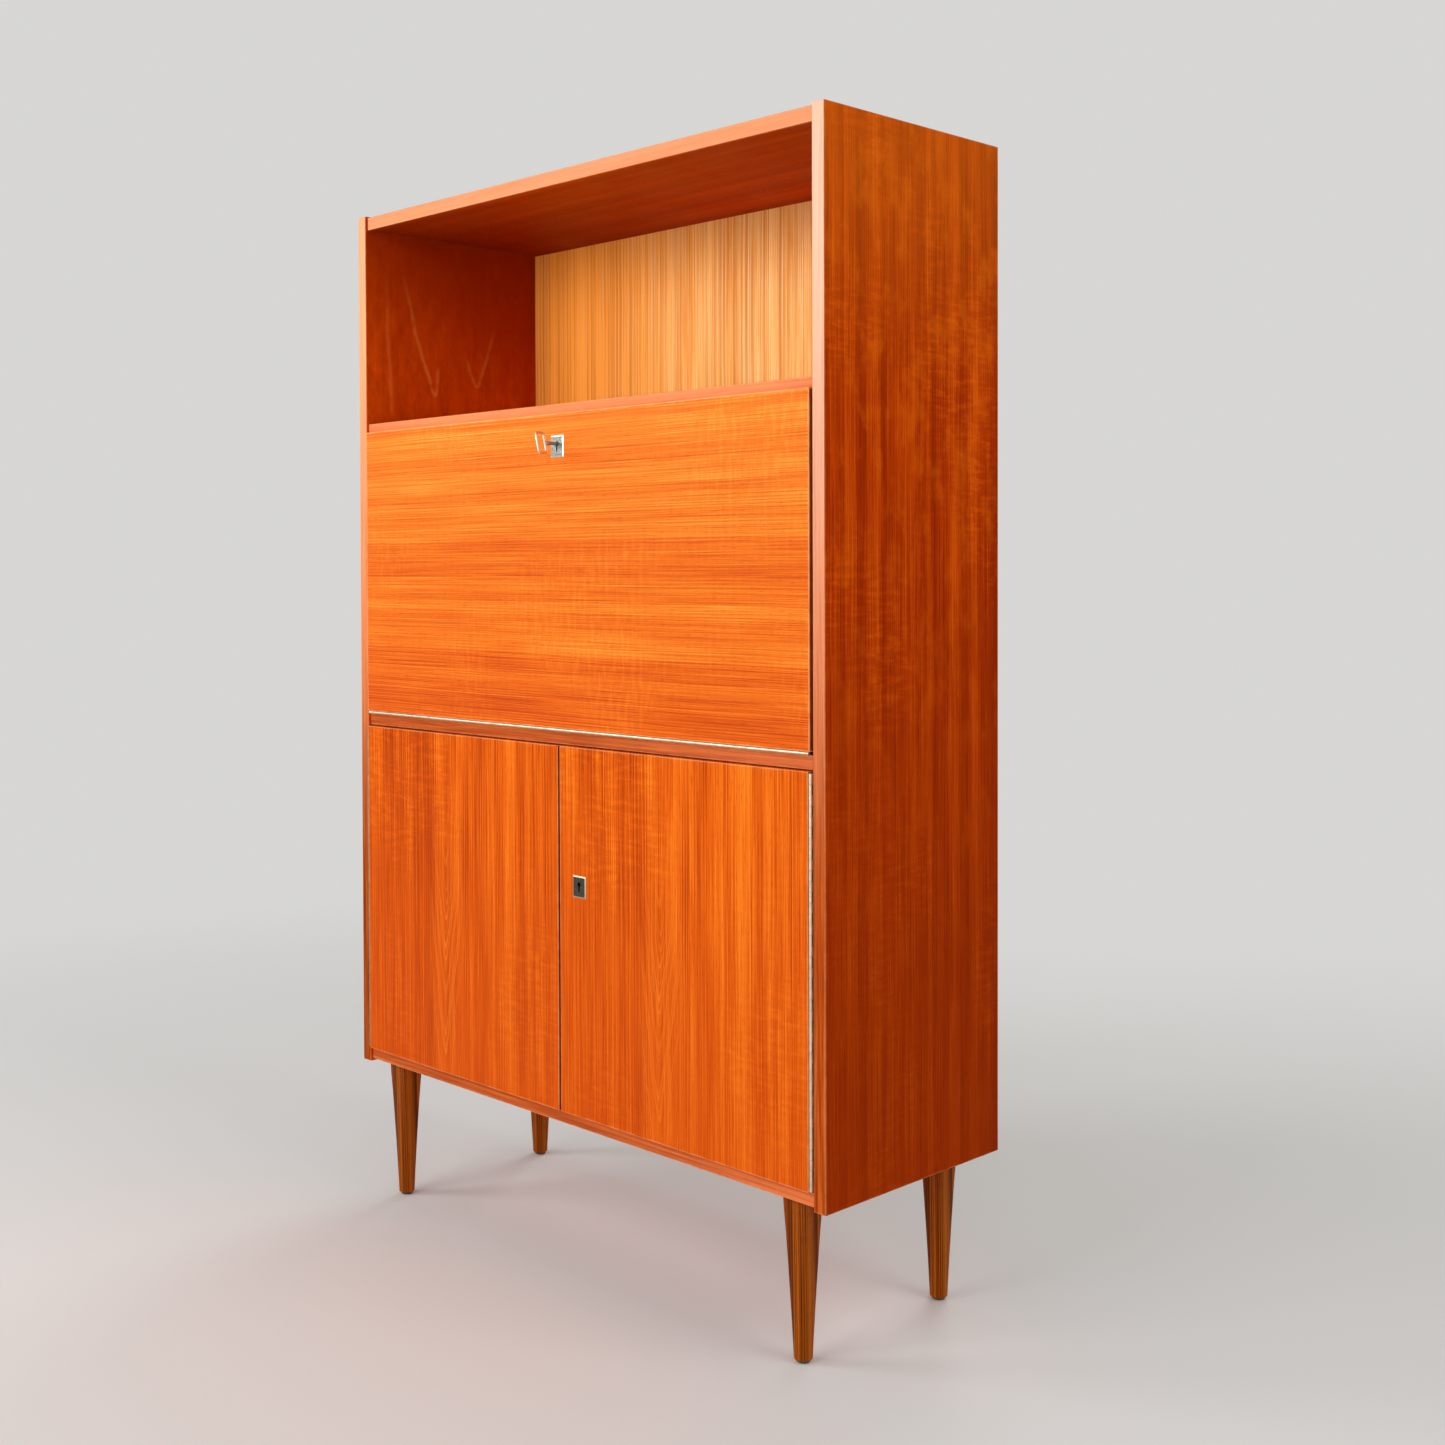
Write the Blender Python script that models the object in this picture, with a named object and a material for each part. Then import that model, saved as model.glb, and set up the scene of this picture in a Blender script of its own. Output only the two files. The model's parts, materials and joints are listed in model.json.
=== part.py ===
"""Secretary desk: a display shelf over a fall-front desk over a two-door cupboard.

Metres, +Z up. The front faces -Y and the legs stand on z = 0. The origin lies
on the floor under the middle of the whole object's box, key included.
Each piece hangs under an empty that marks the joint its body turns or slides on.
"""
import math

import bmesh
import bpy
from mathutils import Matrix, Vector

# ------------------------------------------------------------- overall sizes
WIDTH = 1.000               # across the two sides
DEPTH = 0.350               # front edge to rear edge of a side
SIDE_HEIGHT = 1.354
LEG_CLEAR = 0.210           # floor to the lower ends of the sides

# ------------------------------------------------------------- boards
SIDE_BOARD = 0.020
TOP_BOARD = 0.020
DISPLAY_BOARD = 0.020
DESK_BOARD = 0.018
BOTTOM_BOARD = 0.018
SHELF_BOARD = 0.016
FRONT_BOARD = 0.019         # flap and doors
INNER_BOARD = 0.012         # shelf and dividers inside the desk
BACK_BOARD = 0.004
EDGE_EASE = 0.0006          # chamfer on the boards' arrises
BOARD_SETBACK = 0.004       # boards' front edges behind the sides' front edges
BACK_REBATE = 0.007         # how far the back panel is let into its neighbours

# ------------------------------------------------------------- heights over the sides' lower ends
BOTTOM_RISE = 0.004
DESK_HEIGHT = 0.5604
DISPLAY_HEIGHT = 1.023
TOP_DROP = 0.002            # top panel below the upper ends of the sides

# ------------------------------------------------------------- clearances
SEAT = 0.0003               # between pieces that rest on or fit in each other
THROUGH = 0.002             # how far a cutter runs past a face that it opens

# ------------------------------------------------------------- flap and doors
FLAP_PROUD = 0.003
FLAP_SIDE_GAP = 0.003
FLAP_LAP = 0.006            # flap's upper edge over the display shelf's rebate
FLAP_TOP_GAP = 0.001
DOOR_PIN_AHEAD = 0.0019     # hinge pin in front of the sides, so that a door swings past them
DOOR_LOW_GAP = 0.001
DOOR_TOP_GAP = 0.0015
DOOR_MEETING_GAP = 0.004

# ------------------------------------------------------------- piano hinges
KNUCKLE_RADIUS = 0.0021
LEAF_THICK = 0.0007
LEAF_WIDTH = 0.018
LEAF_GAP = 0.0005           # flat of a leaf behind the other leaf's knuckles
KNUCKLE_PITCH = 0.064
KNUCKLE_SIDES = 12
KNUCKLE_CURL = 10           # steps of the roll, of 12 in a whole turn
HINGE_INSET = 0.002

# ------------------------------------------------------------- legs
LEG_TOP_SIZE = 0.037
LEG_FOOT_SIZE = 0.024
LEG_SIDE_INSET = 0.069      # leg's axis from the outside of the side
LEG_FRONT_INSET = 0.034
LEG_REAR_INSET = 0.042
LEG_SIDES = 24
LEG_STEPS = 6
LEG_FOOT_CHAMFER = 0.0015
HANGER_RADIUS = 0.004
HANGER_IN_LEG = 0.030
HANGER_IN_BOARD = 0.012
GLIDE_RADIUS = 0.009
GLIDE_HEIGHT = 0.003
GLIDE_NAIL_RADIUS = 0.0012
GLIDE_NAIL_LENGTH = 0.012

# ------------------------------------------------------------- locks
LOCK_BACKSET = 0.043        # keyhole to the edge that the bolt leaves
LOCK_THROW = 0.009
CASE_HALF = 0.030
CASE_TAIL = 0.022
CASE_DEPTH = 0.012
CASE_WALL = 0.0015
BOLT_FRONT = 0.0068         # bolt's front face behind the case's front
BOLT_THICK = 0.0034
BOLT_HALF = 0.009
BOLT_TAIL = 0.012
BOLT_SHY = 0.0005           # bolt's tip below the edge while drawn back
BIT_ROOM_RADIUS = 0.0085
KEYHOLE_RADIUS = 0.0034
KEYHOLE_SLOT_HALF = 0.0015
KEYHOLE_SLOT_DROP = 0.0105
PLATE_HALF_WIDTH = 0.014
PLATE_HALF_HEIGHT = 0.0155
PLATE_DROP = 0.0035         # plate's middle under the key's axis
PLATE_THICK = 0.001
DOOR_LOCK_HEIGHT = 0.350    # keyhole over the sides' lower ends

# ------------------------------------------------------------- key
KEY_REACH = 0.038           # out of the flap's face
KEY_SHANK_RADIUS = 0.0024
KEY_BOW_DEPTH = 0.0175
KEY_BOW_HALF_HEIGHT = 0.0165
KEY_BOW_BAR = 0.0032
KEY_BOW_THICK = 0.0026
KEY_COLLAR_RADIUS = 0.0036
KEY_COLLAR_LENGTH = 0.003
KEY_BIT_DROP = 0.0072
KEY_BIT_HALF = 0.0011
KEY_LEAN = math.radians(-14.5)   # key's turn at rest, its bow leaning to the left

# ------------------------------------------------------------- flap stays
STAY_RADIUS = 0.162         # hinge pin to the stay's pivot, and to its stud
STAY_PIVOT_RISE = 0.010     # pivot off the flap's inner face
STUD_BEHIND = 0.050         # stud behind the hinge pin
FLAP_SWING = math.radians(90)
STAY_HALF = 0.006
STAY_THICK = 0.002
STAY_OFFSET = 0.008         # side's inner face to the bar
STUD_RADIUS = 0.0025
STUD_COLLAR_RADIUS = 0.005
STUD_HEAD_RADIUS = 0.006
STUD_HEAD_THICK = 0.002
STUD_IN_SIDE = 0.010
RIVET_RADIUS = 0.002
RIVET_HEAD_RADIUS = 0.004
RIVET_HEAD_THICK = 0.0015
BRACKET_THICK = 0.002
BRACKET_HALF_HEIGHT = 0.018
BRACKET_WIDTH = 0.016
LUG_HALF = 0.007

# ------------------------------------------------------------- left door's surface bolt
CATCH_FROM_EDGE = 0.028     # bar's centre from the door's free edge
CATCH_HALF_WIDTH = 0.011
CATCH_DEPTH = 0.009
CATCH_LENGTH = 0.050
CATCH_BELOW_TOP = 0.012
CATCH_BAR_HALF = 0.0038
CATCH_BAR_DEPTH = 0.0050
CATCH_BAR_TAIL = 0.022
CATCH_TRAVEL = 0.008
CATCH_SHY = 0.001           # bar's tip below the door's top while drawn back

# ------------------------------------------------------------- cupboard shelf
CUPBOARD_SHELF_HEIGHT = 0.282
CUPBOARD_SHELF_SETBACK = 0.030
CUPBOARD_SHELF_PLAY = 0.001
SHELF_PIN_RADIUS = 0.0025
SHELF_PIN_IN_SIDE = 0.010
SHELF_PIN_OUT = 0.009
SHELF_PIN_INSET = 0.050

# ------------------------------------------------------------- fittings inside the desk
BAY_HEIGHT = 0.090          # inner shelf to the display shelf
BAY_FRONT_SETBACK = 0.137   # inner shelf's front edge behind the sides' front edges
DIVIDER_AT = 0.156          # divider's middle from the desk's middle
DRAWER_SETBACK = 0.003
DRAWER_PLAY = 0.001
DRAWER_FRONT_THICK = 0.012
DRAWER_WALL = 0.008
DRAWER_FLOOR = 0.004
DRAWER_TRAY_HEIGHT = 0.070
DRAWER_REAR_ROOM = 0.0084   # behind the tray
KNOB_RADIUS = 0.009
KNOB_NECK_RADIUS = 0.0045
KNOB_LENGTH = 0.018
KNOB_SHANK_RADIUS = 0.002

# ------------------------------------------------------------- finishes: colour, roughness, metallic
TEAK_SIDE = ((0.36, 0.095, 0.022), 0.38, 0.0)
TEAK_FRONT = ((0.55, 0.165, 0.030), 0.36, 0.0)
TEAK_EDGE = ((0.42, 0.115, 0.028), 0.42, 0.0)
BACK_VENEER = ((0.56, 0.27, 0.085), 0.45, 0.0)
LEG_WOOD = ((0.16, 0.062, 0.018), 0.40, 0.0)
PALE_WOOD = ((0.55, 0.36, 0.19), 0.50, 0.0)
NICKEL = ((0.60, 0.57, 0.51), 0.32, 1.0)
STEEL = ((0.42, 0.41, 0.39), 0.42, 1.0)
BRASS = ((0.62, 0.45, 0.20), 0.35, 1.0)
BLACK_PLASTIC = ((0.02, 0.02, 0.02), 0.55, 0.0)

# ------------------------------------------------------------- places worked out from the sizes
DEPTH_SHIFT = (FLAP_PROUD + KEY_REACH) / 2
FRONT = DEPTH_SHIFT - DEPTH / 2
REAR = FRONT + DEPTH
INNER = WIDTH / 2 - SIDE_BOARD
BOARD_FRONT = FRONT + BOARD_SETBACK
BACK_FACE = REAR - BACK_BOARD
BOARD_REAR = BACK_FACE - SEAT
SIDE_LOW = LEG_CLEAR
SIDE_TOP = SIDE_LOW + SIDE_HEIGHT
BOTTOM_LOW = SIDE_LOW + BOTTOM_RISE
BOTTOM_TOP = BOTTOM_LOW + BOTTOM_BOARD
DESK_TOP = SIDE_LOW + DESK_HEIGHT
DESK_LOW = DESK_TOP - DESK_BOARD
DISPLAY_TOP = SIDE_LOW + DISPLAY_HEIGHT
DISPLAY_LOW = DISPLAY_TOP - DISPLAY_BOARD
TOP_TOP = SIDE_TOP - TOP_DROP
TOP_LOW = TOP_TOP - TOP_BOARD
BACK_LOW = BOTTOM_TOP - BACK_REBATE
BACK_TOP = TOP_LOW + BACK_REBATE

HINGE_STACK = KNUCKLE_RADIUS + SEAT
LEAF_START = KNUCKLE_RADIUS + LEAF_GAP
FLAP_FACE = FRONT - FLAP_PROUD
FLAP_INSIDE = FLAP_FACE + FRONT_BOARD
FLAP_HALF = INNER - FLAP_SIDE_GAP
FLAP_PIN_Y = FLAP_FACE + KNUCKLE_RADIUS
FLAP_PIN_Z = DESK_TOP + HINGE_STACK
FLAP_LOW = FLAP_PIN_Z + HINGE_STACK
FLAP_TOP = DISPLAY_LOW + FLAP_LAP
FLAP_KEY_Z = FLAP_TOP - LOCK_BACKSET

DOOR_PIN_Y = FRONT - DOOR_PIN_AHEAD
DOOR_FACE = DOOR_PIN_Y - KNUCKLE_RADIUS
DOOR_INSIDE = DOOR_FACE + FRONT_BOARD
DOOR_LOW = BOTTOM_TOP + DOOR_LOW_GAP
DOOR_TOP = DESK_LOW - DOOR_TOP_GAP
DOOR_PIN_X = INNER - HINGE_STACK
DOOR_OUTER = DOOR_PIN_X - HINGE_STACK
DOOR_MEETING = DOOR_MEETING_GAP / 2

LEG_X = WIDTH / 2 - LEG_SIDE_INSET
LEG_TOP = BOTTOM_LOW - SEAT
LEG_FOOT = GLIDE_HEIGHT + SEAT
LEG_PLACES = {
    "front_left": (-LEG_X, FRONT + LEG_FRONT_INSET),
    "front_right": (LEG_X, FRONT + LEG_FRONT_INSET),
    "rear_left": (-LEG_X, REAR - LEG_REAR_INSET),
    "rear_right": (LEG_X, REAR - LEG_REAR_INSET),
}

STAY_PIVOT_Y = FLAP_INSIDE + STAY_PIVOT_RISE
STAY_PIVOT_Z = FLAP_PIN_Z + math.sqrt(STAY_RADIUS ** 2 - (STAY_PIVOT_Y - FLAP_PIN_Y) ** 2)
STUD_Y = FLAP_PIN_Y + STUD_BEHIND
STUD_Z = FLAP_PIN_Z + math.sqrt(STAY_RADIUS ** 2 - STUD_BEHIND ** 2)
STAY_OUTER = INNER - STAY_OFFSET
STAY_INNER = STAY_OUTER - STAY_THICK

CATCH_X = -(DOOR_MEETING + CATCH_FROM_EDGE)
CATCH_FRONT = DOOR_INSIDE + SEAT
CATCH_BAR_FRONT = CATCH_FRONT + (CATCH_DEPTH - CATCH_BAR_DEPTH) / 2
CATCH_TIP = DOOR_TOP - CATCH_SHY

CUPBOARD_SHELF_LOW = SIDE_LOW + CUPBOARD_SHELF_HEIGHT
CUPBOARD_SHELF_FRONT = FRONT + CUPBOARD_SHELF_SETBACK

BAY_LOW = DISPLAY_LOW - BAY_HEIGHT
BAY_FRONT = FRONT + BAY_FRONT_SETBACK
DRAWER_FACE = BAY_FRONT + DRAWER_SETBACK
DRAWER_INNER = DIVIDER_AT + INNER_BOARD / 2 + DRAWER_PLAY
DRAWER_OUTER = INNER - DRAWER_PLAY
DRAWER_MIDDLE = (DRAWER_INNER + DRAWER_OUTER) / 2

X_AXIS = 0
Y_AXIS = 1
Z_AXIS = 2
SIDES = {"left": -1, "right": 1}


# ------------------------------------------------------------- shapes
def box_shape(across, along, up, ease=0.0):
    """Closed box from a range on each axis, with its arrises chamfered by ease."""
    shape = bmesh.new()
    bmesh.ops.create_cube(shape, size=1.0)
    ranges = (across, along, up)
    for corner in shape.verts:
        picks = [max if corner.co[axis] > 0 else min for axis in range(3)]
        corner.co = [pick(limits) for pick, limits in zip(picks, ranges)]
    if ease > 0:
        bmesh.ops.bevel(shape, geom=shape.edges[:], offset=ease, segments=1, affect="EDGES")
    return shape


def lofted_shape(rings):
    """Skin over rings that have the same number of points, closed at both ends."""
    shape = bmesh.new()
    rows = [[shape.verts.new(point) for point in ring] for ring in rings]
    for lower, upper in zip(rows, rows[1:]):
        for index, corner in enumerate(lower):
            following = (index + 1) % len(lower)
            shape.faces.new((corner, lower[following], upper[following], upper[index]))
    shape.faces.new(rows[0])
    shape.faces.new(rows[-1])
    return shape


def circle(centre, radius, axis, sides):
    """Points round an axis that runs through centre."""
    points = []
    for index in range(sides):
        angle = 2 * math.pi * index / sides
        point = list(centre)
        point[(axis + 1) % 3] += radius * math.cos(angle)
        point[(axis + 2) % 3] += radius * math.sin(angle)
        points.append(point)
    return points


def turned_shape(centre, axis, stations, sides=24):
    """Turned solid; each station is its distance along the axis and its radius."""
    rings = []
    for distance, radius in stations:
        middle = list(centre)
        middle[axis] += distance
        rings.append(circle(middle, radius, axis, sides))
    return lofted_shape(rings)


def rod_shape(centre, axis, reach, radius, sides=16):
    """Plain rod from one distance along the axis to another."""
    return turned_shape(centre, axis, [(reach[0], radius), (reach[1], radius)], sides)


def bar_shape(start, heading, reach, half, across, steps=8):
    """Flat bar in a YZ plane with round ends, whose end centres lie at the two
    distances of reach from start, along a heading from +Y towards +Z."""
    outline = []
    for distance, turn in ((reach[1], -math.pi / 2), (reach[0], math.pi / 2)):
        for step in range(steps + 1):
            angle = heading + turn + math.pi * step / steps
            along = start[0] + distance * math.cos(heading) + half * math.cos(angle)
            up = start[1] + distance * math.sin(heading) + half * math.sin(angle)
            outline.append((along, up))
    return lofted_shape([[(x, y, z) for y, z in outline] for x in across])


# ------------------------------------------------------------- objects
def clear_scene():
    for old in list(bpy.data.objects):
        bpy.data.objects.remove(old, do_unlink=True)


def new_body(name, location=(0.0, 0.0, 0.0), parent=None):
    """Empty on a body's joint, to carry the body's pieces."""
    empty = bpy.data.objects.new(name, None)
    bpy.context.scene.collection.objects.link(empty)
    empty["world_place"] = tuple(location)
    if parent:
        empty.parent = parent
        location = Vector(location) - Vector(parent["world_place"])
    empty.location = location
    return empty


def new_mesh_object(name, shape, body):
    """Object under a body's empty, from a shape whose points are in the room."""
    bmesh.ops.recalc_face_normals(shape, faces=shape.faces[:])
    bmesh.ops.translate(shape, verts=shape.verts[:], vec=-Vector(body["world_place"]))
    mesh = bpy.data.meshes.new(name)
    shape.to_mesh(mesh)
    shape.free()
    made = bpy.data.objects.new(name, mesh)
    made.parent = body
    bpy.context.scene.collection.objects.link(made)
    return made


def new_finish(name, colour, roughness, metallic):
    material = bpy.data.materials.new(name)
    material.use_nodes = True
    shader = material.node_tree.nodes["Principled BSDF"]
    shader.inputs["Base Color"].default_value = (*colour, 1.0)
    shader.inputs["Roughness"].default_value = roughness
    shader.inputs["Metallic"].default_value = metallic
    return material


def new_piece(name, shape, finish, body, smooth=False):
    piece = new_mesh_object(name, shape, body)
    if smooth:
        piece.data.shade_smooth()
        piece.data.set_sharp_from_angle(angle=math.radians(40))
    piece.data.materials.append(new_finish(name, *finish))
    return piece


def combine(piece, shape, label, operation):
    """Boolean on a piece with a hidden helper of its own."""
    helper = new_mesh_object(f"{piece.name}_{label}", shape, piece.parent)
    helper.hide_render = True
    helper.display_type = "WIRE"
    modifier = piece.modifiers.new(label, "BOOLEAN")
    modifier.operation = operation
    modifier.solver = "EXACT"
    modifier.object = helper


def cut(piece, shape, label):
    combine(piece, shape, label, "DIFFERENCE")


def add(piece, shape, label):
    combine(piece, shape, label, "UNION")


# ------------------------------------------------------------- carcass
def back_rebate():
    """Room that the sides, top and bottom leave for the back panel."""
    half = INNER + BACK_REBATE
    return box_shape((-half, half), (BOARD_REAR, REAR + THROUGH), (BACK_LOW, BACK_TOP))


def shelf_pin_places(side):
    """Centres of one side's two cupboard shelf pins."""
    height = CUPBOARD_SHELF_LOW - SEAT - SHELF_PIN_RADIUS
    depths = (CUPBOARD_SHELF_FRONT + SHELF_PIN_INSET, BOARD_REAR - SHELF_PIN_INSET)
    return [(side * INNER, depth, height) for depth in depths]


def make_side(side_name, carcass):
    side = SIDES[side_name]
    across = (side * INNER, side * WIDTH / 2)
    shape = box_shape(across, (FRONT, REAR), (SIDE_LOW, SIDE_TOP), EDGE_EASE)
    panel = new_piece(f"side_panel_{side_name}", shape, TEAK_SIDE, carcass)
    cut(panel, back_rebate(), "back_rebate")
    for index, place in enumerate(shelf_pin_places(side)):
        reach = (-side * THROUGH, side * (SHELF_PIN_IN_SIDE + SEAT))
        hole = rod_shape(place, X_AXIS, reach, SHELF_PIN_RADIUS + SEAT, 12)
        cut(panel, hole, f"shelf_pin_hole_{index}")
    reach = (-side * THROUGH, side * (STUD_IN_SIDE + SEAT))
    hole = rod_shape((side * INNER, STUD_Y, STUD_Z), X_AXIS, reach, STUD_RADIUS + SEAT, 12)
    cut(panel, hole, "stay_stud_hole")


def make_boards(carcass):
    half = INNER - SEAT
    across = (-half, half)

    shape = box_shape(across, (BOARD_FRONT, REAR), (TOP_LOW, TOP_TOP), EDGE_EASE)
    top = new_piece("top_panel", shape, TEAK_EDGE, carcass)
    cut(top, back_rebate(), "back_rebate")

    shape = box_shape(across, (BOARD_FRONT, BOARD_REAR), (DISPLAY_LOW, DISPLAY_TOP), EDGE_EASE)
    display = new_piece("display_shelf", shape, TEAK_EDGE, carcass)
    rebate = box_shape(
        (-INNER, INNER),
        (BOARD_FRONT - THROUGH, FLAP_INSIDE + SEAT),
        (DISPLAY_LOW - THROUGH, FLAP_TOP + FLAP_TOP_GAP),
    )
    cut(display, rebate, "flap_rebate")
    cut(display, bolt_mortise(FLAP_LOCK, FLAP_TOP_GAP), "bolt_mortise")

    shape = box_shape(across, (BOARD_FRONT, BOARD_REAR), (DESK_LOW, DESK_TOP), EDGE_EASE)
    desk = new_piece("desk_board", shape, TEAK_EDGE, carcass)
    hole = box_shape(
        (CATCH_X - CATCH_BAR_HALF - SEAT, CATCH_X + CATCH_BAR_HALF + SEAT),
        (CATCH_BAR_FRONT - SEAT, CATCH_BAR_FRONT + CATCH_BAR_DEPTH + SEAT),
        (DESK_LOW - THROUGH, CATCH_TIP + CATCH_TRAVEL + SEAT),
    )
    cut(desk, hole, "door_bolt_hole")

    shape = box_shape(across, (BOARD_FRONT, REAR), (BOTTOM_LOW, BOTTOM_TOP), EDGE_EASE)
    bottom = new_piece("bottom_panel", shape, TEAK_EDGE, carcass)
    cut(bottom, back_rebate(), "back_rebate")
    for place, (x, y) in LEG_PLACES.items():
        reach = (-THROUGH, HANGER_IN_BOARD + SEAT)
        hole = rod_shape((x, y, BOTTOM_LOW), Z_AXIS, reach, HANGER_RADIUS + SEAT, 12)
        cut(bottom, hole, f"hanger_hole_{place}")

    half = INNER + BACK_REBATE - SEAT
    shape = box_shape((-half, half), (BACK_FACE, REAR), (BACK_LOW + SEAT, BACK_TOP - SEAT))
    new_piece("back_panel", shape, BACK_VENEER, carcass)


# ------------------------------------------------------------- legs
def leg_ring(x, y, height, half, roundness):
    """Section of a leg: square at roundness 0, a circle at roundness 1."""
    points = []
    for index in range(LEG_SIDES):
        angle = 2 * math.pi * index / LEG_SIDES
        square = 1 / max(abs(math.cos(angle)), abs(math.sin(angle)))
        radius = half * (square + (1 - square) * roundness)
        points.append((x + radius * math.cos(angle), y + radius * math.sin(angle), height))
    return points


def make_leg(place, carcass):
    x, y = LEG_PLACES[place]
    top_half = LEG_TOP_SIZE / 2
    foot_half = LEG_FOOT_SIZE / 2
    rings = []
    for step in range(LEG_STEPS + 1):
        share = step / LEG_STEPS
        height = LEG_TOP + (LEG_FOOT + LEG_FOOT_CHAMFER - LEG_TOP) * share
        half = top_half + (foot_half - top_half) * share
        rings.append(leg_ring(x, y, height, half, share ** 0.8))
    rings.append(leg_ring(x, y, LEG_FOOT, foot_half - LEG_FOOT_CHAMFER, 1))
    leg = new_piece(f"leg_{place}", lofted_shape(rings), LEG_WOOD, carcass, smooth=True)
    reach = (-HANGER_IN_LEG - SEAT, THROUGH)
    hole = rod_shape((x, y, LEG_TOP), Z_AXIS, reach, HANGER_RADIUS + SEAT, 12)
    cut(leg, hole, "hanger_hole")
    reach = (-THROUGH, GLIDE_NAIL_LENGTH + SEAT)
    hole = rod_shape((x, y, LEG_FOOT), Z_AXIS, reach, GLIDE_NAIL_RADIUS + SEAT, 12)
    cut(leg, hole, "glide_nail_hole")

    reach = (-HANGER_IN_LEG, HANGER_IN_BOARD + SEAT)
    shape = rod_shape((x, y, LEG_TOP), Z_AXIS, reach, HANGER_RADIUS, 12)
    new_piece(f"leg_bolt_{place}", shape, STEEL, carcass, smooth=True)

    nail_top = GLIDE_HEIGHT + GLIDE_NAIL_LENGTH
    stations = [
        (0.0, GLIDE_RADIUS * 0.8),
        (GLIDE_HEIGHT * 0.4, GLIDE_RADIUS),
        (GLIDE_HEIGHT, GLIDE_RADIUS),
        (GLIDE_HEIGHT, GLIDE_NAIL_RADIUS),
        (nail_top, GLIDE_NAIL_RADIUS),
    ]
    shape = turned_shape((x, y, 0.0), Z_AXIS, stations, 16)
    new_piece(f"glide_{place}", shape, BLACK_PLASTIC, carcass, smooth=True)


# ------------------------------------------------------------- piano hinges
def knuckle_bounds(length, parity):
    """Start and end of each knuckle that one leaf carries along the pin."""
    count = max(3, round(length / KNUCKLE_PITCH))
    pitch = length / count
    bounds = []
    for index in range(parity, count, 2):
        start = index * pitch + (SEAT / 2 if index > 0 else 0.0)
        end = (index + 1) * pitch - (SEAT / 2 if index < count - 1 else 0.0)
        bounds.append((start, end))
    return bounds


def leaf_shape(length, parity, place):
    """Hinge leaf with rolled knuckles. place(u, v, w) gives a point in the room
    from u along the pin, v away from it over the leaf, and w towards the board."""
    shape = bmesh.new()
    outer = KNUCKLE_RADIUS
    inner = KNUCKLE_RADIUS - LEAF_THICK
    knuckles = knuckle_bounds(length, parity)
    stops = sorted({0.0, length, *(stop for bounds in knuckles for stop in bounds)})
    section = ((LEAF_START, outer), (LEAF_START, inner), (LEAF_WIDTH, inner), (LEAF_WIDTH, outer))
    rows = {u: [shape.verts.new(place(u, v, w)) for v, w in section] for u in stops}
    for start, end in zip(stops, stops[1:]):
        first = rows[start]
        last = rows[end]
        edges = [(1, 2), (2, 3), (3, 0)]
        if (start, end) not in knuckles:
            edges.append((0, 1))
        for a, b in edges:
            shape.faces.new((first[a], first[b], last[b], last[a]))
    shape.faces.new(rows[0.0])
    shape.faces.new(rows[length])
    for start, end in knuckles:
        roll_knuckle(shape, rows[start][:2], rows[end][:2], (start, end), place)
    return shape


def roll_knuckle(shape, first_pair, last_pair, bounds, place):
    """Roll the leaf's front end round the pin, between two stops along it."""
    for step in range(KNUCKLE_CURL + 1):
        angle = math.pi / 2 + 2 * math.pi * step / KNUCKLE_SIDES
        v = math.cos(angle)
        w = math.sin(angle)
        radii = (KNUCKLE_RADIUS, KNUCKLE_RADIUS - LEAF_THICK)
        pairs = [[shape.verts.new(place(u, v * r, w * r)) for r in radii] for u in bounds]
        for side in (0, 1):
            shape.faces.new((first_pair[side], last_pair[side], pairs[1][side], pairs[0][side]))
        shape.faces.new((first_pair[0], first_pair[1], pairs[0][1], pairs[0][0]))
        shape.faces.new((last_pair[0], last_pair[1], pairs[1][1], pairs[1][0]))
        first_pair, last_pair = pairs
    shape.faces.new((first_pair[0], first_pair[1], last_pair[1], last_pair[0]))


def make_flap_hinge(carcass, flap):
    half = FLAP_HALF - HINGE_INSET

    def on_flap(u, v, w):
        return (u - half, FLAP_PIN_Y + v, FLAP_PIN_Z + w)

    def on_desk(u, v, w):
        return (u - half, FLAP_PIN_Y + v, FLAP_PIN_Z - w)

    new_piece("flap_hinge_leaf", leaf_shape(2 * half, 1, on_flap), NICKEL, flap, smooth=True)
    new_piece("desk_hinge_leaf", leaf_shape(2 * half, 0, on_desk), NICKEL, carcass, smooth=True)
    pin = rod_shape((0, FLAP_PIN_Y, FLAP_PIN_Z), X_AXIS, (-half, half), hinge_pin_radius(), 12)
    new_piece("flap_hinge_pin", pin, STEEL, carcass, smooth=True)


def hinge_pin_radius():
    return KNUCKLE_RADIUS - LEAF_THICK - SEAT


def make_door_hinge(side_name, carcass, door):
    side = SIDES[side_name]
    start = DOOR_LOW + HINGE_INSET
    length = DOOR_TOP - HINGE_INSET - start

    def on_door(u, v, w):
        return (side * (DOOR_PIN_X - w), DOOR_PIN_Y + v, start + u)

    def on_side(u, v, w):
        return (side * (DOOR_PIN_X + w), DOOR_PIN_Y + v, start + u)

    leaf = leaf_shape(length, 1, on_door)
    new_piece(f"{side_name}_door_hinge_leaf", leaf, NICKEL, door, smooth=True)
    leaf = leaf_shape(length, 0, on_side)
    new_piece(f"{side_name}_side_hinge_leaf", leaf, NICKEL, carcass, smooth=True)
    centre = (side * DOOR_PIN_X, DOOR_PIN_Y, start)
    pin = rod_shape(centre, Z_AXIS, (0.0, length), hinge_pin_radius(), 12)
    new_piece(f"{side_name}_door_hinge_pin", pin, STEEL, carcass, smooth=True)


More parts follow.
